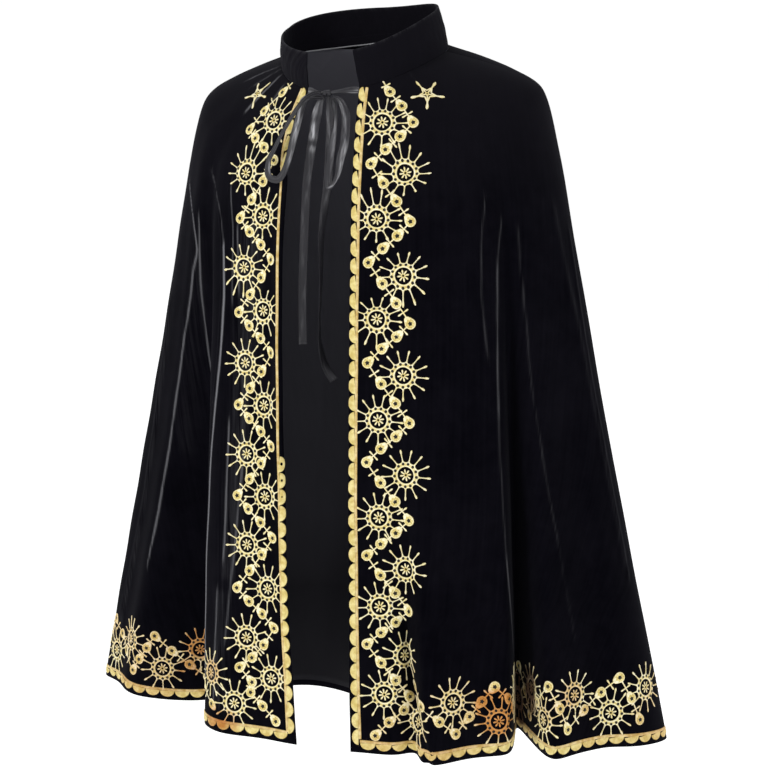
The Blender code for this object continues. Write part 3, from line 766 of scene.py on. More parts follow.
# centre lines in millimetres: x, y, z, width, which way the ribbon faces in degrees
ribbons = {
    "bow_loop_right": (
        (-8, -109.6, -54.4, 4, -10), (-17, -110.3, -53.8, 4.5, -10), (-24, -110.9, -53.6, 5.5, -5),
        (-29.8, -112, -56.8, 7.5, 0), (-32.7, -113.4, -64.8, 8.5, 0), (-34.8, -115.5, -76, 9, 0),
        (-37.6, -118, -89.3, 9, 0), (-40.5, -120, -102.9, 9, -5), (-43.5, -121.6, -116.5, 8.5, -10),
        (-47.1, -122.6, -128.5, 8, -10), (-51.8, -123.2, -138.3, 8, -5), (-58.4, -123.6, -143.6, 8, 0),
        (-65.4, -123.6, -142, 8, 0), (-69.6, -123.2, -134, 8, -10), (-68.4, -122.6, -123, 8, -25),
        (-61.4, -122.2, -109.9, 8, -38), (-53.8, -121.4, -95.4, 8, -42), (-46.2, -120, -82.4, 8, -40),
        (-34.4, -117.9, -64.8, 6.5, -30), (-26, -116.3, -55.3, 4.5, -20), (-16.8, -114.8, -49.9, 3.5, -10),
        (-9, -113.4, -48.7, 3, 0),
    ),
    "bow_loop_left": (
        (3.4, -108.9, -54, 4, 10), (10, -111, -56, 4.5, 15), (15.7, -113, -61.3, 7, 20),
        (21.6, -116, -79, 9.5, 20), (20.6, -117.6, -101.6, 9.5, 10), (15.6, -117.6, -120.5, 9, 0),
        (12, -117, -137.3, 8, -20), (5, -116, -149.4, 6, -40), (-1.5, -113.2, -152, 6, -20),
        (-2.6, -110.9, -141.3, 8, 0), (-0.1, -109.8, -123.8, 9, 0), (2.6, -109, -101.3, 8, 5),
        (5.6, -108.2, -76.5, 5.5, 10), (4.6, -107.6, -62.3, 4, 10), (1.6, -107.2, -54.4, 3.5, 10),
    ),
    "tie_tail_short": (
        (-7.6, -106.8, -52.2, 4, 0), (-12.5, -106.6, -58.6, 7, 10), (-17, -106.6, -72, 11, 15),
        (-22.6, -106.6, -101.2, 10.5, 15), (-26.4, -106.6, -122.7, 10, 20),
        (-29.7, -106.6, -147.2, 9.5, 25), (-31.7, -106.6, -178.8, 9.5, 25),
        (-34.8, -106.6, -235.8, 9.5, 20), (-36.4, -106.6, -285.2, 9.5, 20), (-36, -106.6, -327.3, 9.5, 20),
    ),
    "tie_tail_long": (
        (-2.8, -107.4, -52.5, 4, 0), (-3.2, -105.2, -58, 5.5, 0), (-3.4, -102.8, -68.4, 8, 0),
        (-3.4, -102.4, -92, 9.5, 0), (-4.8, -102, -121.9, 9.5, 10), (-6.7, -102, -148, 9.5, 25),
        (-11.2, -102, -178.7, 9.5, 50), (-14.7, -102, -211.2, 9.5, 75), (-14.9, -102, -251.9, 9.5, 92),
        (-16.8, -102, -292.7, 9.5, 100), (-17.4, -102, -317.5, 9.5, 95), (-12.7, -102, -344.2, 9.5, 70),
        (-6, -102, -358.9, 9.5, 45), (0.5, -102, -367, 9.5, 30),
    ),
}
# painted highlight: how brightly each ribbon gleams along its length
gleam = {
    "bow_loop_right": (
        (0, 0.1), (0.066, 0.25), (0.1, 0.6), (0.15, 0.85), (0.2, 0.75), (0.26, 0.45), (0.31, 0.25),
        (0.36, 0.3), (0.4, 0.15), (0.45, 0.04), (0.48, 0.05), (0.51, 0.12), (0.546, 0.3), (0.58, 0.25),
        (0.61, 0.06), (0.65, 0.01), (0.92, 0.01), (0.96, 0.08), (1, 0.1),
    ),
    "bow_loop_left": (
        (0, 0.1), (0.05, 0.3), (0.1, 0.2), (0.16, 0.28), (0.22, 0.2), (0.27, 0.3), (0.33, 0.5),
        (0.38, 0.45), (0.43, 0.25), (0.5, 0.4), (0.54, 0.15), (0.6, 0.08), (0.67, 0.12), (0.74, 0.3),
        (0.8, 0.35), (0.88, 0.28), (0.95, 0.5), (1, 0.2),
    ),
    "tie_tail_short": (
        (0, 0.1), (0.03, 0.4), (0.07, 0.4), (0.1, 0.2), (0.135, 0.65), (0.17, 0.7), (0.195, 0.08),
        (0.215, 0.45), (0.24, 0.14), (0.4, 0.09), (0.7, 0.07), (1, 0.09),
    ),
    "tie_tail_long": (
        (0, 0.1), (0.1, 0.2), (0.25, 0.3), (0.35, 0.12), (0.5, 0.08), (0.62, 0.05), (0.75, 0.12),
        (0.85, 0.06), (1, 0.1),
    ),
}
ribbonLook = {
    "wall": 0.0004, "gathered": 8.8 * mm, "flatHalf": 4.5 * mm, "cup": 0.05, "pleat": 0.35,
    "cut": 0.01, "leastShare": 0.31,
}


def pathStations(rows, steps):
    rows = np.array(rows, float)
    run = runAlong(rows[:, :3])
    return readTable(np.column_stack([run, rows]), np.linspace(0, run[-1], steps + 1)), run[-1] * mm


def makeRibbon(name, rows):
    steps, ribs = 110, np.linspace(-1, 1, 11)
    stations, length = pathStations(rows, steps)
    centre, half, facing = stations[:, :3] * mm, stations[:, 3:4] * mm / 2, np.radians(stations[:, 4])
    face = np.stack([np.sin(facing), -np.cos(facing), np.zeros_like(facing)], -1)
    tangent = unit(np.gradient(centre, axis=0))
    side = unit(np.cross(tangent, face))
    normal = np.cross(side, tangent)
    run = np.linspace(0, length, steps + 1)[:, None]
    # the strip cups a little one way and the other; where it is gathered, its spare width stands in a pleat
    cup = ribbonLook["cup"] * np.sin(run * 55 + 1) * half
    squeeze = np.clip((ribbonLook["gathered"] / 2 - half) / half, 0, 1.2)
    lift = cup * (1 - ribs**2) + squeeze * half * ribbonLook["pleat"] * np.cos(ribs * math.pi * 2)
    points = centre[:, None] + side[:, None] * (half * ribs)[..., None] + normal[:, None] * lift[..., None]
    # painted highlight: the side that leans to the light gleams most
    lean = np.exp(-(((ribs - 0.5 * np.sin(run * 48 + 0.5)) / 0.5) ** 2))
    shine = readTable(gleam[name], run[:, 0] / length) * (0.22 + 0.9 * lean)
    cloth = ((ribs * ribbonLook["flatHalf"])[None, :], run)
    piece = gridPiece("ribbon_" + name, points, [ribbonSatin], cloth, normal[steps // 2], shine)
    thicken(piece, ribbonLook["wall"])
    piece.modifiers["wall"].offset = 0
    wear(piece, name)


for name, rows in ribbons.items():
    makeRibbon(name, rows)

# the ribbon gathered across the opening: x, y, z, half height, half depth in millimetres
band = {
    "path": (
        (-30.2, -99.2, -46.4, 3.6, 0.9), (-25, -103, -46.8, 3.6, 1.2), (-19, -105.6, -47.8, 2.2, 1.5),
        (-13, -107.6, -48.8, 1.4, 1.6), (-8, -108.6, -49.2, 1.5, 1.9), (-3, -108.6, -49.2, 1.6, 2),
        (2, -108.2, -49, 1.7, 1.9), (6.5, -107.4, -48.4, 1.9, 1.8), (12, -106, -47.6, 2.2, 1.6),
        (18, -104.4, -46.8, 2.9, 1.5), (24, -102.6, -46.4, 3.4, 1.3), (29.7, -99.2, -46.4, 3.2, 0.9),
    ),
    "pleats": 7,
    # the knot, two short turns of ribbon: x, y, z, half height, half depth, lean in degrees
    "wraps": ((-6, -108.7, -49.4, 2.5, 2.6, 12), (-1.4, -108.5, -49.3, 2.7, 2.8, -16)),
    "wrapWidth": 4.2,
}


def wrapBand(bm):
    layer = bm.loops.layers.uv["cloth"]
    for x, y, z, high, deep, lean in band["wraps"]:
        rim = bmesh.ops.create_grid(bm, x_segments=6, y_segments=40, size=0.5)["verts"]
        for vert in rim:
            across, turn = vert.co.x, (vert.co.y + 0.5) * 2 * math.pi
            crown = 1 + 0.16 * math.cos(across * math.pi) + 0.05 * math.sin(turn * 2 + across * 7)
            slant = math.tan(math.radians(lean)) * math.cos(turn) * high
            spot = Vector((across * band["wrapWidth"] + slant, 0, 0))
            spot = spot + Vector((0, math.sin(turn) * deep, math.cos(turn) * high)) * crown
            vert.co = (Vector((x, y, z)) + spot) * mm
        for face in {f for v in rim for f in v.link_faces}:
            for loop in face.loops:
                loop[layer].uv = (loop.vert.co.x, loop.vert.co.z)


def makeBand():
    sides, steps = 30, 70
    stations, length = pathStations(band["path"], steps)
    turn = np.linspace(0, 2 * math.pi, sides + 1)[None, :]
    depth = 0.7 + 0.3 * np.sin(np.linspace(0, 9, steps + 1))[:, None]
    pleat = 1 + 0.13 * np.sin(turn * band["pleats"] + 0.6) * depth
    y = stations[:, 1:2] + np.sin(turn) * stations[:, 4:5] * pleat
    z = stations[:, 2:3] + np.cos(turn) * stations[:, 3:4] * pleat
    points = np.stack([np.broadcast_to(stations[:, :1], y.shape), y, z], -1) * mm
    end = np.clip(np.abs(np.linspace(-1, 1, steps + 1)) * 2.2 - 1.2, 0, 1)[:, None]
    # painted highlight on the gathered ends, brightest on the pleat crests
    shine = 0.05 + end * (0.12 + 0.5 * np.clip((pleat - 1) * 8, 0, 1))
    cloth = (turn * 0.0016, np.linspace(0, length, steps + 1)[:, None])
    piece = gridPiece("ribbon_tie_band", points, [ribbonSatin], cloth, (0, -1, 0), shine)
    bm = bmesh.new()
    bm.from_mesh(piece.data)
    bmesh.ops.remove_doubles(bm, verts=bm.verts[:], dist=1e-6)
    bmesh.ops.holes_fill(bm, edges=[e for e in bm.edges if e.is_boundary], sides=0)
    bmesh.ops.recalc_face_normals(bm, faces=bm.faces[:])
    wrapBand(bm)
    bmesh.ops.remove_doubles(bm, verts=bm.verts[:], dist=1e-6)
    bmesh.ops.recalc_face_normals(bm, faces=bm.faces[:])
    bm.to_mesh(piece.data)
    bm.free()
    wear(piece, "tie_band")


makeBand()
print("ribbon tied")


# embroidery: flat stitched shapes in millimetres, made once in their own plane and laid on the cloth
def stitched(parts):
    # joins (bmesh, material or materials) parts into one template mesh
    joined = bmesh.new()
    joined.loops.layers.uv.new("cloth")
    for part, material in parts:
        for face in part.faces:
            face.material_index = material[face.material_index] if isinstance(material, tuple) else material
        mesh = bpy.data.meshes.new("part")
        part.to_mesh(mesh)
        part.free()
        joined.from_mesh(mesh)
        bpy.data.meshes.remove(mesh)
    mesh = bpy.data.meshes.new("template")
    joined.to_mesh(mesh)
    joined.free()
    return {"mesh": mesh, "points": np.array([v.co for v in mesh.vertices], float).reshape(-1, 3)}


def setUv(bm, rule):
    layer = bm.loops.layers.uv.get("cloth") or bm.loops.layers.uv.new("cloth")
    for face in bm.faces:
        for loop in face.loops:
            loop[layer].uv = rule(loop.vert.co)


def stroke(widths, start, end, high):
    # a straight stroke along +x, with its width at even stations, rounded over
    bm = bmesh.new()
    bmesh.ops.create_grid(bm, x_segments=len(widths) - 1, y_segments=2, size=0.5)
    setUv(bm, lambda co: (co.y * 3 * mm, co.x * (end - start) * mm))
    for vert in bm.verts:
        along, aside = vert.co.x + 0.5, vert.co.y
        width = widths[round(along * (len(widths) - 1))]
        lift = high if abs(aside) < 0.1 else 0.0
        vert.co = Vector((start + (end - start) * along, aside * width, lift)) * mm
    return bm


def turned(bm, angle, move=(0, 0, 0)):
    bmesh.ops.rotate(bm, verts=bm.verts[:], cent=(0, 0, 0), matrix=Matrix.Rotation(angle, 3, "Z"))
    bmesh.ops.translate(bm, verts=bm.verts[:], vec=Vector(move) * mm)
    return bm


def ringPart(profile, steps, wobble=None, half=False, size=mm):
    # a profile of (radius, height) spun round from +x; a half turn is left open
    bm = bmesh.new()
    verts = [bm.verts.new((radius * size, 0, height * size)) for radius, height in profile]
    edges = [bm.edges.new(pair) for pair in zip(verts, verts[1:])]
    angle = math.pi if half else 2 * math.pi
    bmesh.ops.spin(
        bm, geom=verts + edges, cent=(0, 0, 0), axis=(0, 0, 1), angle=angle, steps=steps,
        use_merge=not half)
    bmesh.ops.recalc_face_normals(bm, faces=bm.faces[:])
    if sum(face.normal.z for face in bm.faces) < 0:
        bmesh.ops.reverse_faces(bm, faces=bm.faces[:])
    setUv(bm, lambda co: (math.hypot(co.x, co.y), math.atan2(co.y, co.x) * profile[0][0] * size))
    if wobble:
        for vert in bm.verts:
            radius, angle = math.hypot(vert.co.x, vert.co.y), math.atan2(vert.co.y, vert.co.x)
            vert.co.xy = vert.co.xy * wobble(radius, angle)
    return bm


def discPart(radius, height, sides, waist=1.0):
    # a disc, or a star where its waist is less than one
    bm = bmesh.new()
    bmesh.ops.create_circle(bm, cap_ends=True, segments=sides, radius=radius * mm)
    for index, vert in enumerate(bm.verts):
        vert.co.xy = vert.co.xy * (1.0 if index % 2 else waist)
    bmesh.ops.translate(bm, verts=bm.verts[:], vec=(0, 0, height * mm))
    setUv(bm, lambda co: (co.x, co.y))
    return bm


def shadeFaces(bm, rule):
    # the second of a part's materials on the faces whose distance from the middle passes the rule
    for face in bm.faces:
        face.material_index = int(rule(math.hypot(*face.calc_center_median().xy) / mm))


def around(count, start=0.0):
    return [start + index * 2 * math.pi / count for index in range(count)]


sun = {
    "rays": 13, "ring": (9.2, 14.5), "rim": 1.5, "high": 0.75, "swell": 0.1, "swellFrom": 13 * mm,
    # where the rays start and end, and a ray's width at even stations
    "ray": (14.2, 28.4), "rayWidths": (4.0, 1.9, 1.4, 1.3, 1.3, 1.35, 1.5, 2.3, 2.4, 1.2),
    "hole": 1.7, "holesAt": 12.7,
    "petals": 8, "petal": (1.9, 6.6), "petalWidths": (1.0, 1.5, 1.9, 2.0, 1.0),
    "eye": ((1.2, 0), (1.9, 0.75), (2.8, 0)),
}


def makeSun():
    rays, high, rim = sun["rays"], sun["high"], sun["rim"]
    low, top = sun["ring"]

    def swell(radius, angle):
        lobe = max(0.0, math.cos(angle * rays))
        return 1 + sun["swell"] * lobe**1.5 if radius > sun["swellFrom"] else 1.0

    rise = ((low, 0), (low + rim / 2, high), (low + rim, high))
    profile = (*rise, (top - rim, high), (top - rim / 2, high), (top, 0))
    ring = ringPart(profile, rays * 6, swell)
    shadeFaces(ring, lambda radius: not low + rim < radius < top - rim)  # lighter stitches along both rims
    parts = [(ring, (pale, cream))]
    for angle in around(rays):
        parts.append((turned(stroke(sun["rayWidths"], *sun["ray"], high), angle), cream))
        hole = (sun["holesAt"] * math.cos(angle), sun["holesAt"] * math.sin(angle), 0)
        parts.append((turned(discPart(sun["hole"], high + 0.1, 8), 0, hole), dark))
    for angle in around(sun["petals"], 0.2):
        parts.append((turned(stroke(sun["petalWidths"], *sun["petal"], high), angle), cream))
    parts.append((ringPart(sun["eye"], 12), pale))
    return stitched(parts)


def makeDrop():
    def point(radius, angle):
        return 1 + 0.58 * max(0.0, math.cos(angle)) ** 6 if radius > 3 * mm else 1.0

    body = ringPart(((1.2, 0.4), (3.4, 0.6), (5.0, 0.78), (6.1, 0)), 20, point)
    shadeFaces(body, lambda radius: radius < 5.2)
    return stitched([(body, (cream, pale)), (discPart(2.8, 0.66, 10, 0.62), dark)])


def makeStar():
    # five long arms with knobbed ends over a small five-pointed star
    tip, waist = 9.5, 4.2
    corners = [
        Vector((math.cos(angle), math.sin(angle), 0)) * (waist if index % 2 else tip)
        for index, angle in enumerate(around(10) + [2 * math.pi])
    ]
    parts = []
    for first, second in zip(corners, corners[1:]):
        run = second - first
        bar = stroke((1.6, 1.8, 1.6), 0, run.length, 0.6)
        parts.append((turned(bar, math.atan2(run.y, run.x), first), cream))
    for angle in around(5):
        arm = stroke((1.2, 1.7, 1.9, 1.8, 1.8, 1.9, 2.9, 3.1, 1.4), 1.5, 18.2, 0.62)
        parts.append((turned(arm, angle), cream))
    parts.append((ringPart(((0.8, 0.3), (1.6, 0.7), (2.4, 0)), 10), pale))
    return stitched(parts)


def makeScallop():
    # a filled half round bulging towards +x, its flat side along y; of unit size, scaled where it is laid
    half = ringPart(((0.02, 0.5), (0.72, 0.8), (0.86, 1.0), (1.0, 0.0)), 10, half=True, size=1)
    turned(half, -math.pi / 2)
    setUv(half, lambda co: (co.x * 6 * mm, co.y * 9 * mm))
    return stitched([(half, pale)])


templates = {
    "sun": makeSun(),
    "drop": makeDrop(),
    "star": makeStar(),
    "scallop": makeScallop(),
    "bar": stitched([(stroke((1.1, 2.3, 1.9, 1.5, 1.5, 1.5, 1.5, 1.9, 2.3, 1.1), -6.8, 6.8, 0.7), cream)]),
}
print("stitched shapes charted", {key: len(value["mesh"].polygons) for key, value in templates.items()})


def sample(grid, column, row):
    # a grid read between its points
    column = np.clip(column, 0, grid.shape[1] - 1.0001)
    row = np.clip(row, 0, grid.shape[0] - 1.0001)
    c, r = column.astype(int), row.astype(int)
    aside, below = (column - c)[..., None], (row - r)[..., None]
    first = grid[r, c] * (1 - aside) + grid[r, c + 1] * aside
    second = grid[r + 1, c] * (1 - aside) + grid[r + 1, c + 1] * aside
    return first * (1 - below) + second * below


def columnOf(panel, share):
    return np.interp(share, panel["shares"], np.arange(len(panel["shares"])))


def onPanel(panel, share, row):
    column = columnOf(panel, np.asarray(share, float))
    row = np.asarray(row, float)
    return sample(panel["points"], column, row), unit(sample(panel["normals"], column, row))


def spotOn(panel, place):
    return onPanel(panel, *place)[0]


def fromEdge(panel, across, down):
    # (share across, row) of a place measured in millimetres from the front edge and down it
    row = np.interp(down * mm, panel["down"], panel["rows"])
    return across * mm / np.interp(row, panel["rows"], panel["width"]), row


def fromHem(panel, across, above, alongHem=False):
    # the same measured along the cloth, or along the hem itself, and up from the hem
    row = panel["rows"][-1]
    for _ in range(6):
        width = panel["width"][-1] if alongHem else np.interp(row, panel["rows"], panel["width"])
        share = min(across * mm / width, 1.0 if alongHem else 0.985)
        column = columnOf(panel, share)
        low = int(min(column, len(panel["shares"]) - 2))
        part = column - low
        heights = panel["above"][:, low] * (1 - part) + panel["above"][:, low + 1] * part
        row = np.interp(-above * mm, -heights, panel["rows"])
    return share, row


def localFrame(panel, share, row):
    # place, normal, two axes in the cloth, and what turns lengths along them into shares and rows
    aside, below = 0.002, 0.8
    spot, normal = onPanel(panel, share, row)
    left, right = max(share - aside, 0), min(share + aside, 1)
    upper, lower = max(row - below, 0), min(row + below, len(panel["rows"]) - 1.001)
    ahead = (spotOn(panel, (right, row)) - spotOn(panel, (left, row))) / (right - left)
    downward = (spotOn(panel, (share, lower)) - spotOn(panel, (share, upper))) / (lower - upper)
    first = unit(ahead - (ahead @ normal) * normal)
    second = np.cross(normal, first)
    metric = np.array([[ahead @ first, downward @ first], [ahead @ second, downward @ second]])
    return spot, normal, first, second, np.linalg.inv(metric)


class Stitching:
    # one piece of embroidery on one panel, kept clear of the front edge and the hem by its stops
    def __init__(self, name, panel, edgeStop=None, hemStop=None):
        self.name, self.panel = name, panel
        self.edgeStop, self.hemStop = edgeStop, hemStop
        self.bm = bmesh.new()
        self.bm.loops.layers.uv.new("cloth")
        self.placed, self.raised = [], []

    def put(self, mesh, share, row, height, stops):
        panel = self.panel
        if stops and self.edgeStop is not None:
            width = np.interp(row, panel["rows"], panel["width"])
            down = np.interp(row, panel["rows"], panel["down"])
            share = np.maximum(share, self.edgeStop(down) * mm / width)
        if stops and self.hemStop is not None:
            columns = columnOf(panel, np.clip(share, 0, 1)).astype(int)
            lowest = [np.interp(-self.hemStop * mm, -panel["above"][:, c], panel["rows"]) for c in columns]
            row = np.minimum(row, lowest)
        row = np.clip(row, 0.0, len(panel["rows"]) - 1.001)
        points, normals = onPanel(panel, np.clip(share, 0.0, 1.0), row)
        self.bm.from_mesh(mesh)
        self.placed.append(points + normals * (height + 0.1 * mm)[:, None])
        self.raised.append(height)

    def lay(self, name, place, aim, size=(1.0, 1.0, 1.0), stops=True):
        # aim is the way in the room that the template's own +x looks
        template = templates[name]
        spot, normal, first, second, inverse = localFrame(self.panel, *place)
        turn = math.atan2(float(np.dot(aim, second)), float(np.dot(aim, first)))
        flat = template["points"] * size
        u = flat[:, 0] * math.cos(turn) - flat[:, 1] * math.sin(turn)
        v = flat[:, 0] * math.sin(turn) + flat[:, 1] * math.cos(turn)
        shift = inverse @ np.stack([u, v])
        self.put(template["mesh"], place[0] + shift[0], place[1] + shift[1], flat[:, 2], stops)

    def line(self, places, width, height, material):
        # a continuous stroke through places on the cloth, sizes in millimetres
        shares, rows = np.array(places).T
        bm = bmesh.new()
        bmesh.ops.create_grid(bm, x_segments=len(places) - 1, y_segments=2, size=0.5)
        index = [round((v.co.x + 0.5) * (len(places) - 1)) for v in bm.verts]
        side = np.array([v.co.y * 2 for v in bm.verts])
        aside = side * width * mm / 2
        points = spotOn(self.panel, (shares, rows))
        run = runAlong(points)
        layer = bm.loops.layers.uv.new("cloth")
        for face in bm.faces:
            face.material_index = material
            for loop in face.loops:
                loop[layer].uv = (aside[loop.vert.index], run[index[loop.vert.index]])
        mesh = bpy.data.meshes.new("line")
        bm.to_mesh(mesh)
        bm.free()
        offsets = []
        for station, place in enumerate(places):
            before, after = points[max(station - 1, 0)], points[min(station + 1, len(places) - 1)]
            _, normal, first, second, inverse = localFrame(self.panel, *place)
            sideways = np.cross(normal, unit(after - before))
            offsets.append(inverse @ np.array([sideways @ first, sideways @ second]))
        offsets = np.array(offsets)[index] * aside[:, None]
        raised = np.where(np.abs(side) < 0.1, height * mm, 0.0)
        self.put(mesh, shares[index] + offsets[:, 0], rows[index] + offsets[:, 1], raised, False)
        bpy.data.meshes.remove(mesh)

    def finish(self):
        for vert, point in zip(self.bm.verts, np.concatenate(self.placed)):
            vert.co = point
        piece = meshFrom(self.bm, self.name, threads)
        setFloats(piece, "raised", np.concatenate(self.raised) / (0.75 * mm))
        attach(piece, "root")
        print(self.name, len(piece.data.polygons), "faces")


# a band, in millimetres: suns near the edge and further in by turns, with a zigzag chain of drops between
bands = {
    "left": {
        "near": (48, 151, 256.5, 366, 473, 571.6, 670),
        "nearDepth": (31, 30, 31, 34, 35, 36, 40),
        "far": (115, 217, 321.6, 428.7, 531.6, 627.9),
        "farDepth": (62.5, 60.6, 61.4, 65, 65, 64.6),
        "line": ((0, 8.6), (0.45, 8.4), (0.62, 10), (0.74, 11.4)),
        # drops that turn the lower front corner: depth from the edge, height above the hem
        "corner": ((62, 50), (45, 37), (29, 21)),
        "hem": ((83, 193, 285, 363, 460), (143, 239, 325, 402, 500)),
        "star": (85.4, 39.4),
    },
    "right": {
        "near": (48, 154.7, 255, 360, 462.4, 567, 669),
        "nearDepth": (31, 35, 33, 33, 31, 29, 28),
        "far": (121.7, 216.8, 319, 419.7, 521.4, 627.3, 704.3),
        "farDepth": (64.5, 62, 60, 57, 56, 59, 77.5),
        "line": ((0, 8.6), (0.45, 8.4), (0.62, 9.4), (0.74, 10.4)),
        "corner": ((56, 52), (41, 38), (25, 23)),
        "hem": ((186, 315, 414), (111.5, 261, 359, 460)),
        "star": (83.7, 39.6),
    },
}
chain = {
    # where each drop lies: share of the way between two near suns, depth from the edge
    "drops": ((0.125, 53.6), (0.28, 36.8), (0.455, 20.7), (0.63, 36.8), (0.795, 53), (0.965, 69)),
    # the near suns' depth and the way to the far ones, and how far the chain keeps from neck and hem
    "nearDepth": 31, "reach": 31, "top": 9, "firstDown": 16, "bottom": 58,
    "link": 1.6, "linkHigh": 0.6, "longest": 45, "dropHalf": 5.5, "lead": 0.42,
}
hemLook = {
    "low": 39.5, "high": 66, "line": 12.9, "over": 80, "under": 30, "wideGap": 42,
    # the back's suns: how far from the side seams, and about how far apart
    "margin": 30, "pitch": 57,
}
# the scallops lie partly under the line; on the wearer's right the edge rolls them out of sight for a while
border = {
    "pitch": 18.7, "lobeDeep": 7.7, "lineWide": 3.4, "under": 0.3, "high": 0.95, "rolled": (100, 420),
    "clear": 1.2, "step": 5, "inward": 6, "meet": 0.98, "lobeHigh": 0.75, "seamGap": 0.5,
}


def between(first, second, part):
    return first[0] + (second[0] - first[0]) * part, first[1] + (second[1] - first[1]) * part


def bandPlace(values, phase):
    # distance down the band at phase 0, 1, 2, continued beyond both ends
    last = len(values) - 1
    if phase < 0:
        return values[0] + phase * (values[1] - values[0])
    if phase > last:
        return values[-1] + (phase - last) * (values[-1] - values[-2])
    return np.interp(phase, range(last + 1), values)


def layBar(work, place, along, crossed=True, size=(1.0, 1.0, 1.0)):
    normal = localFrame(work.panel, *place)[1]
    work.lay("bar", place, np.cross(normal, along) if crossed else along, size)


def layChain(work, places, openStart=False):
    # drops joined by links, each link crossed by a short bar
    spots = [spotOn(work.panel, place) for place in places]
    if openStart:
        # a crossed link before the first drop
        share, row = between(places[0], places[1], -chain["lead"])
        lead = (share, max(row, 0.9))
        along = spots[0] - spotOn(work.panel, lead)
        layBar(work, lead, along, False)
        layBar(work, lead, along, True, (0.85, 1.0, 1.1))
    for index, (place, spot) in enumerate(zip(places, spots)):
        work.lay("drop", place, spots[index - 1] - spot if index else spot - spots[1])
        last, along = places[index - 1], spot - spots[index - 1]
        gap = np.linalg.norm(along) / mm
        if index and gap <= chain["longest"]:
            layBar(work, between(last, place, 0.5), along)
            parts = np.linspace(0, 1, 4) * (1 - 2 * chain["dropHalf"] / gap) + chain["dropHalf"] / gap
            link = [between(last, place, part) for part in parts]
            work.line(link, chain["link"], chain["linkHigh"], cream)


def scallopRun(work, places, inward):
    # half rounds along a run of places, bulging away from the inward neighbours
    size = (border["lobeDeep"] * mm, border["pitch"] / 2 * border["meet"] * mm, border["lobeHigh"] * mm)
    for place, inner in zip(places, inward):
        work.lay("scallop", place, spotOn(work.panel, place) - spotOn(work.panel, inner), size, False)


def frontBand(side, panel):
    look = bands[side]

    def lineDepth(down):
        return np.interp(down, *zip(*look["line"]))

    def edgeStop(down):
        return lineDepth(down) + border["clear"]

    work = Stitching("embroidery_band_" + side, panel, edgeStop, hemLook["line"] + border["clear"])
    for down, depth in [*zip(look["near"], look["nearDepth"]), *zip(look["far"], look["farDepth"])]:
        work.lay("sun", fromEdge(panel, depth, down), -up)
    places = []
    length = panel["above"][0, 0] / mm
    turns = range(-1, len(look["near"]))
    for phase, depth in sorted((k + share, depth) for k in turns for share, depth in chain["drops"]):
        near, far = bandPlace(look["near"], phase), bandPlace(look["far"], phase - 0.5)
        down = near + (far - near) * (depth - chain["nearDepth"]) / chain["reach"]
        if down >= chain["top"] and length - down >= chain["bottom"]:
            places.append(fromEdge(panel, depth, max(down, chain["firstDown"])))
    places += [fromHem(panel, depth, above) for depth, above in look["corner"]]
    layChain(work, places, True)
    # the border along the front edge
    stops = np.arange(2, length - hemLook["line"] + 1, border["step"])
    line = [fromEdge(panel, lineDepth(d * mm), d) for d in stops]
    work.line(line, border["lineWide"], border["high"], edging)
    centres = np.arange(border["pitch"] / 2, length - (hemLook["line"] - 1), border["pitch"])
    if side == "right":
        centres = [d for d in centres if not border["rolled"][0] < d < border["rolled"][1]]
    lap = border["lineWide"] / 2 - border["under"]
    lobes = [fromEdge(panel, lineDepth(d * mm) - lap, d) for d in centres]
    scallopRun(work, lobes, [fromEdge(panel, lineDepth(d * mm) + border["inward"], d) for d in centres])
    work.finish()


def hemBand(name, panel, low, high, start, stop):
    work = Stitching("embroidery_hem_" + name, panel, None, hemLook["line"] + border["clear"])
    centres = sorted([(x, "low") for x in low] + [(x, "high") for x in high])
    track = []
    for index, (across, kind) in enumerate(centres):
        work.lay("sun", fromHem(panel, across, hemLook[kind]), -up)
        # drops pass over each low sun and under each high one
        here, there = (hemLook["over"], hemLook["under"])[:: 1 if kind == "low" else -1]
        track.append((across, here))
        for after, _ in centres[index + 1 : index + 2]:
            parts = (0.34, 0.67) if after - across > hemLook["wideGap"] else (0.5,)
            track += [between((across, here), (after, there), part) for part in parts]
    layChain(work, [fromHem(panel, *spot) for spot in track if start < spot[0] < stop])
    spots = np.linspace(start, stop, round((stop - start) / border["step"]))
    line = [fromHem(panel, x, hemLook["line"], True) for x in spots]
    work.line(line, border["lineWide"], border["high"], edging)
    count = max(1, round((stop - start) / border["pitch"]))
    lobes = [start + (stop - start) * (k + 0.5) / count for k in range(count)]
    lower = hemLook["line"] - border["lineWide"] / 2 + border["under"]
    feet, tips = ([fromHem(panel, x, lower + more, True) for x in lobes] for more in (0, border["inward"]))
    scallopRun(work, feet, tips)
    work.finish()


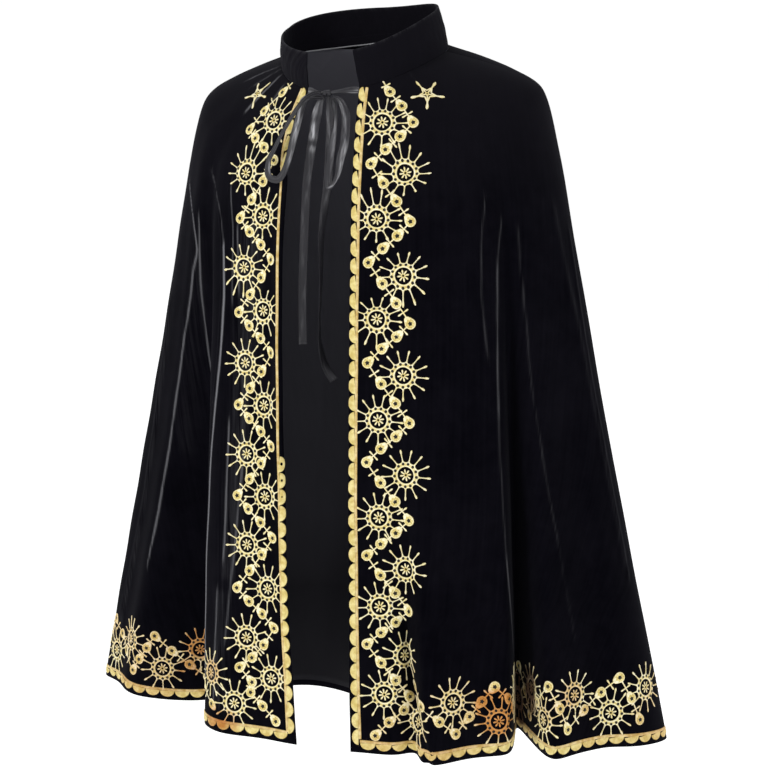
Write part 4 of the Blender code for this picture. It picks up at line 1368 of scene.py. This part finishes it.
fronts = (("left", leftPanel), ("right", rightPanel))
for side, panel in fronts:
    frontBand(side, panel)
for side, panel in fronts:
    seam = panel["width"][-1] / mm - border["seamGap"]
    hemBand(side, panel, *bands[side]["hem"], bands[side]["line"][-1][1], seam)
backHem, margin = backPanel["width"][-1] / mm, hemLook["margin"]
spots = np.linspace(margin, backHem - margin, 2 * round((backHem - 2 * margin) / hemLook["pitch"] / 2))
hemBand("back", backPanel, spots[1::2], spots[0::2], border["seamGap"], backHem - border["seamGap"])
for side, panel in fronts:
    work = Stitching("embroidery_star_" + side, panel)
    work.lay("star", fromEdge(panel, *bands[side]["star"]), -up, (1.06, 1.06, 1.0))
    work.finish()
print("embroidery laid")


def makeStage():
    bm = bmesh.new()
    bmesh.ops.create_grid(bm, x_segments=1, y_segments=1, size=14)
    bmesh.ops.translate(bm, verts=bm.verts[:], vec=(0, 0, -1.45))
    finish = Finish("studio_floor")
    shade = finish.mix(finish.noise(finish.objectPlace(), 3.0), (0.88, 0.88, 0.88), (0.92, 0.92, 0.92))
    finish.surface(Base_Color=shade, Roughness=0.9, Emission_Color=shade, Emission_Strength=0.55)
    meshFrom(bm, "studio_floor", [finish.material])
    # a white sweep behind the cape, dimmer where the room is
    world = bpy.data.worlds.new("studio")
    bpy.context.scene.world = world
    world.use_nodes = True
    nodes, links = world.node_tree.nodes, world.node_tree.links
    place = nodes.new("ShaderNodeTexCoord")
    split = nodes.new("ShaderNodeSeparateXYZ")
    links.new(place.outputs["Generated"], split.inputs[0])
    sweep = nodes.new("ShaderNodeMapRange")
    for key, value in (("From Min", -0.35), ("From Max", 0.3), ("To Min", 0.38), ("To Max", 1.0)):
        sweep.inputs[key].default_value = value
    links.new(split.outputs["Y"], sweep.inputs["Value"])
    links.new(sweep.outputs["Result"], nodes["Background"].inputs["Color"])
    nodes["Background"].inputs["Strength"].default_value = 1.02


def softLight(name, spot, wide, tall, power):
    lamp = bpy.data.lights.new(name, "AREA")
    lamp.shape, lamp.size, lamp.size_y, lamp.energy = "RECTANGLE", wide, tall, power
    setUp(name, lamp, spot, (0, 0, -0.4))


makeStage()
softLight("key", (-1.7, -2.3, 1.2), 1.0, 1.6, 46)
softLight("fill", (2.5, -1.5, 0.5), 0.8, 1.8, 20)
bpy.context.scene.view_settings.view_transform = "Standard"
print("studio lit")
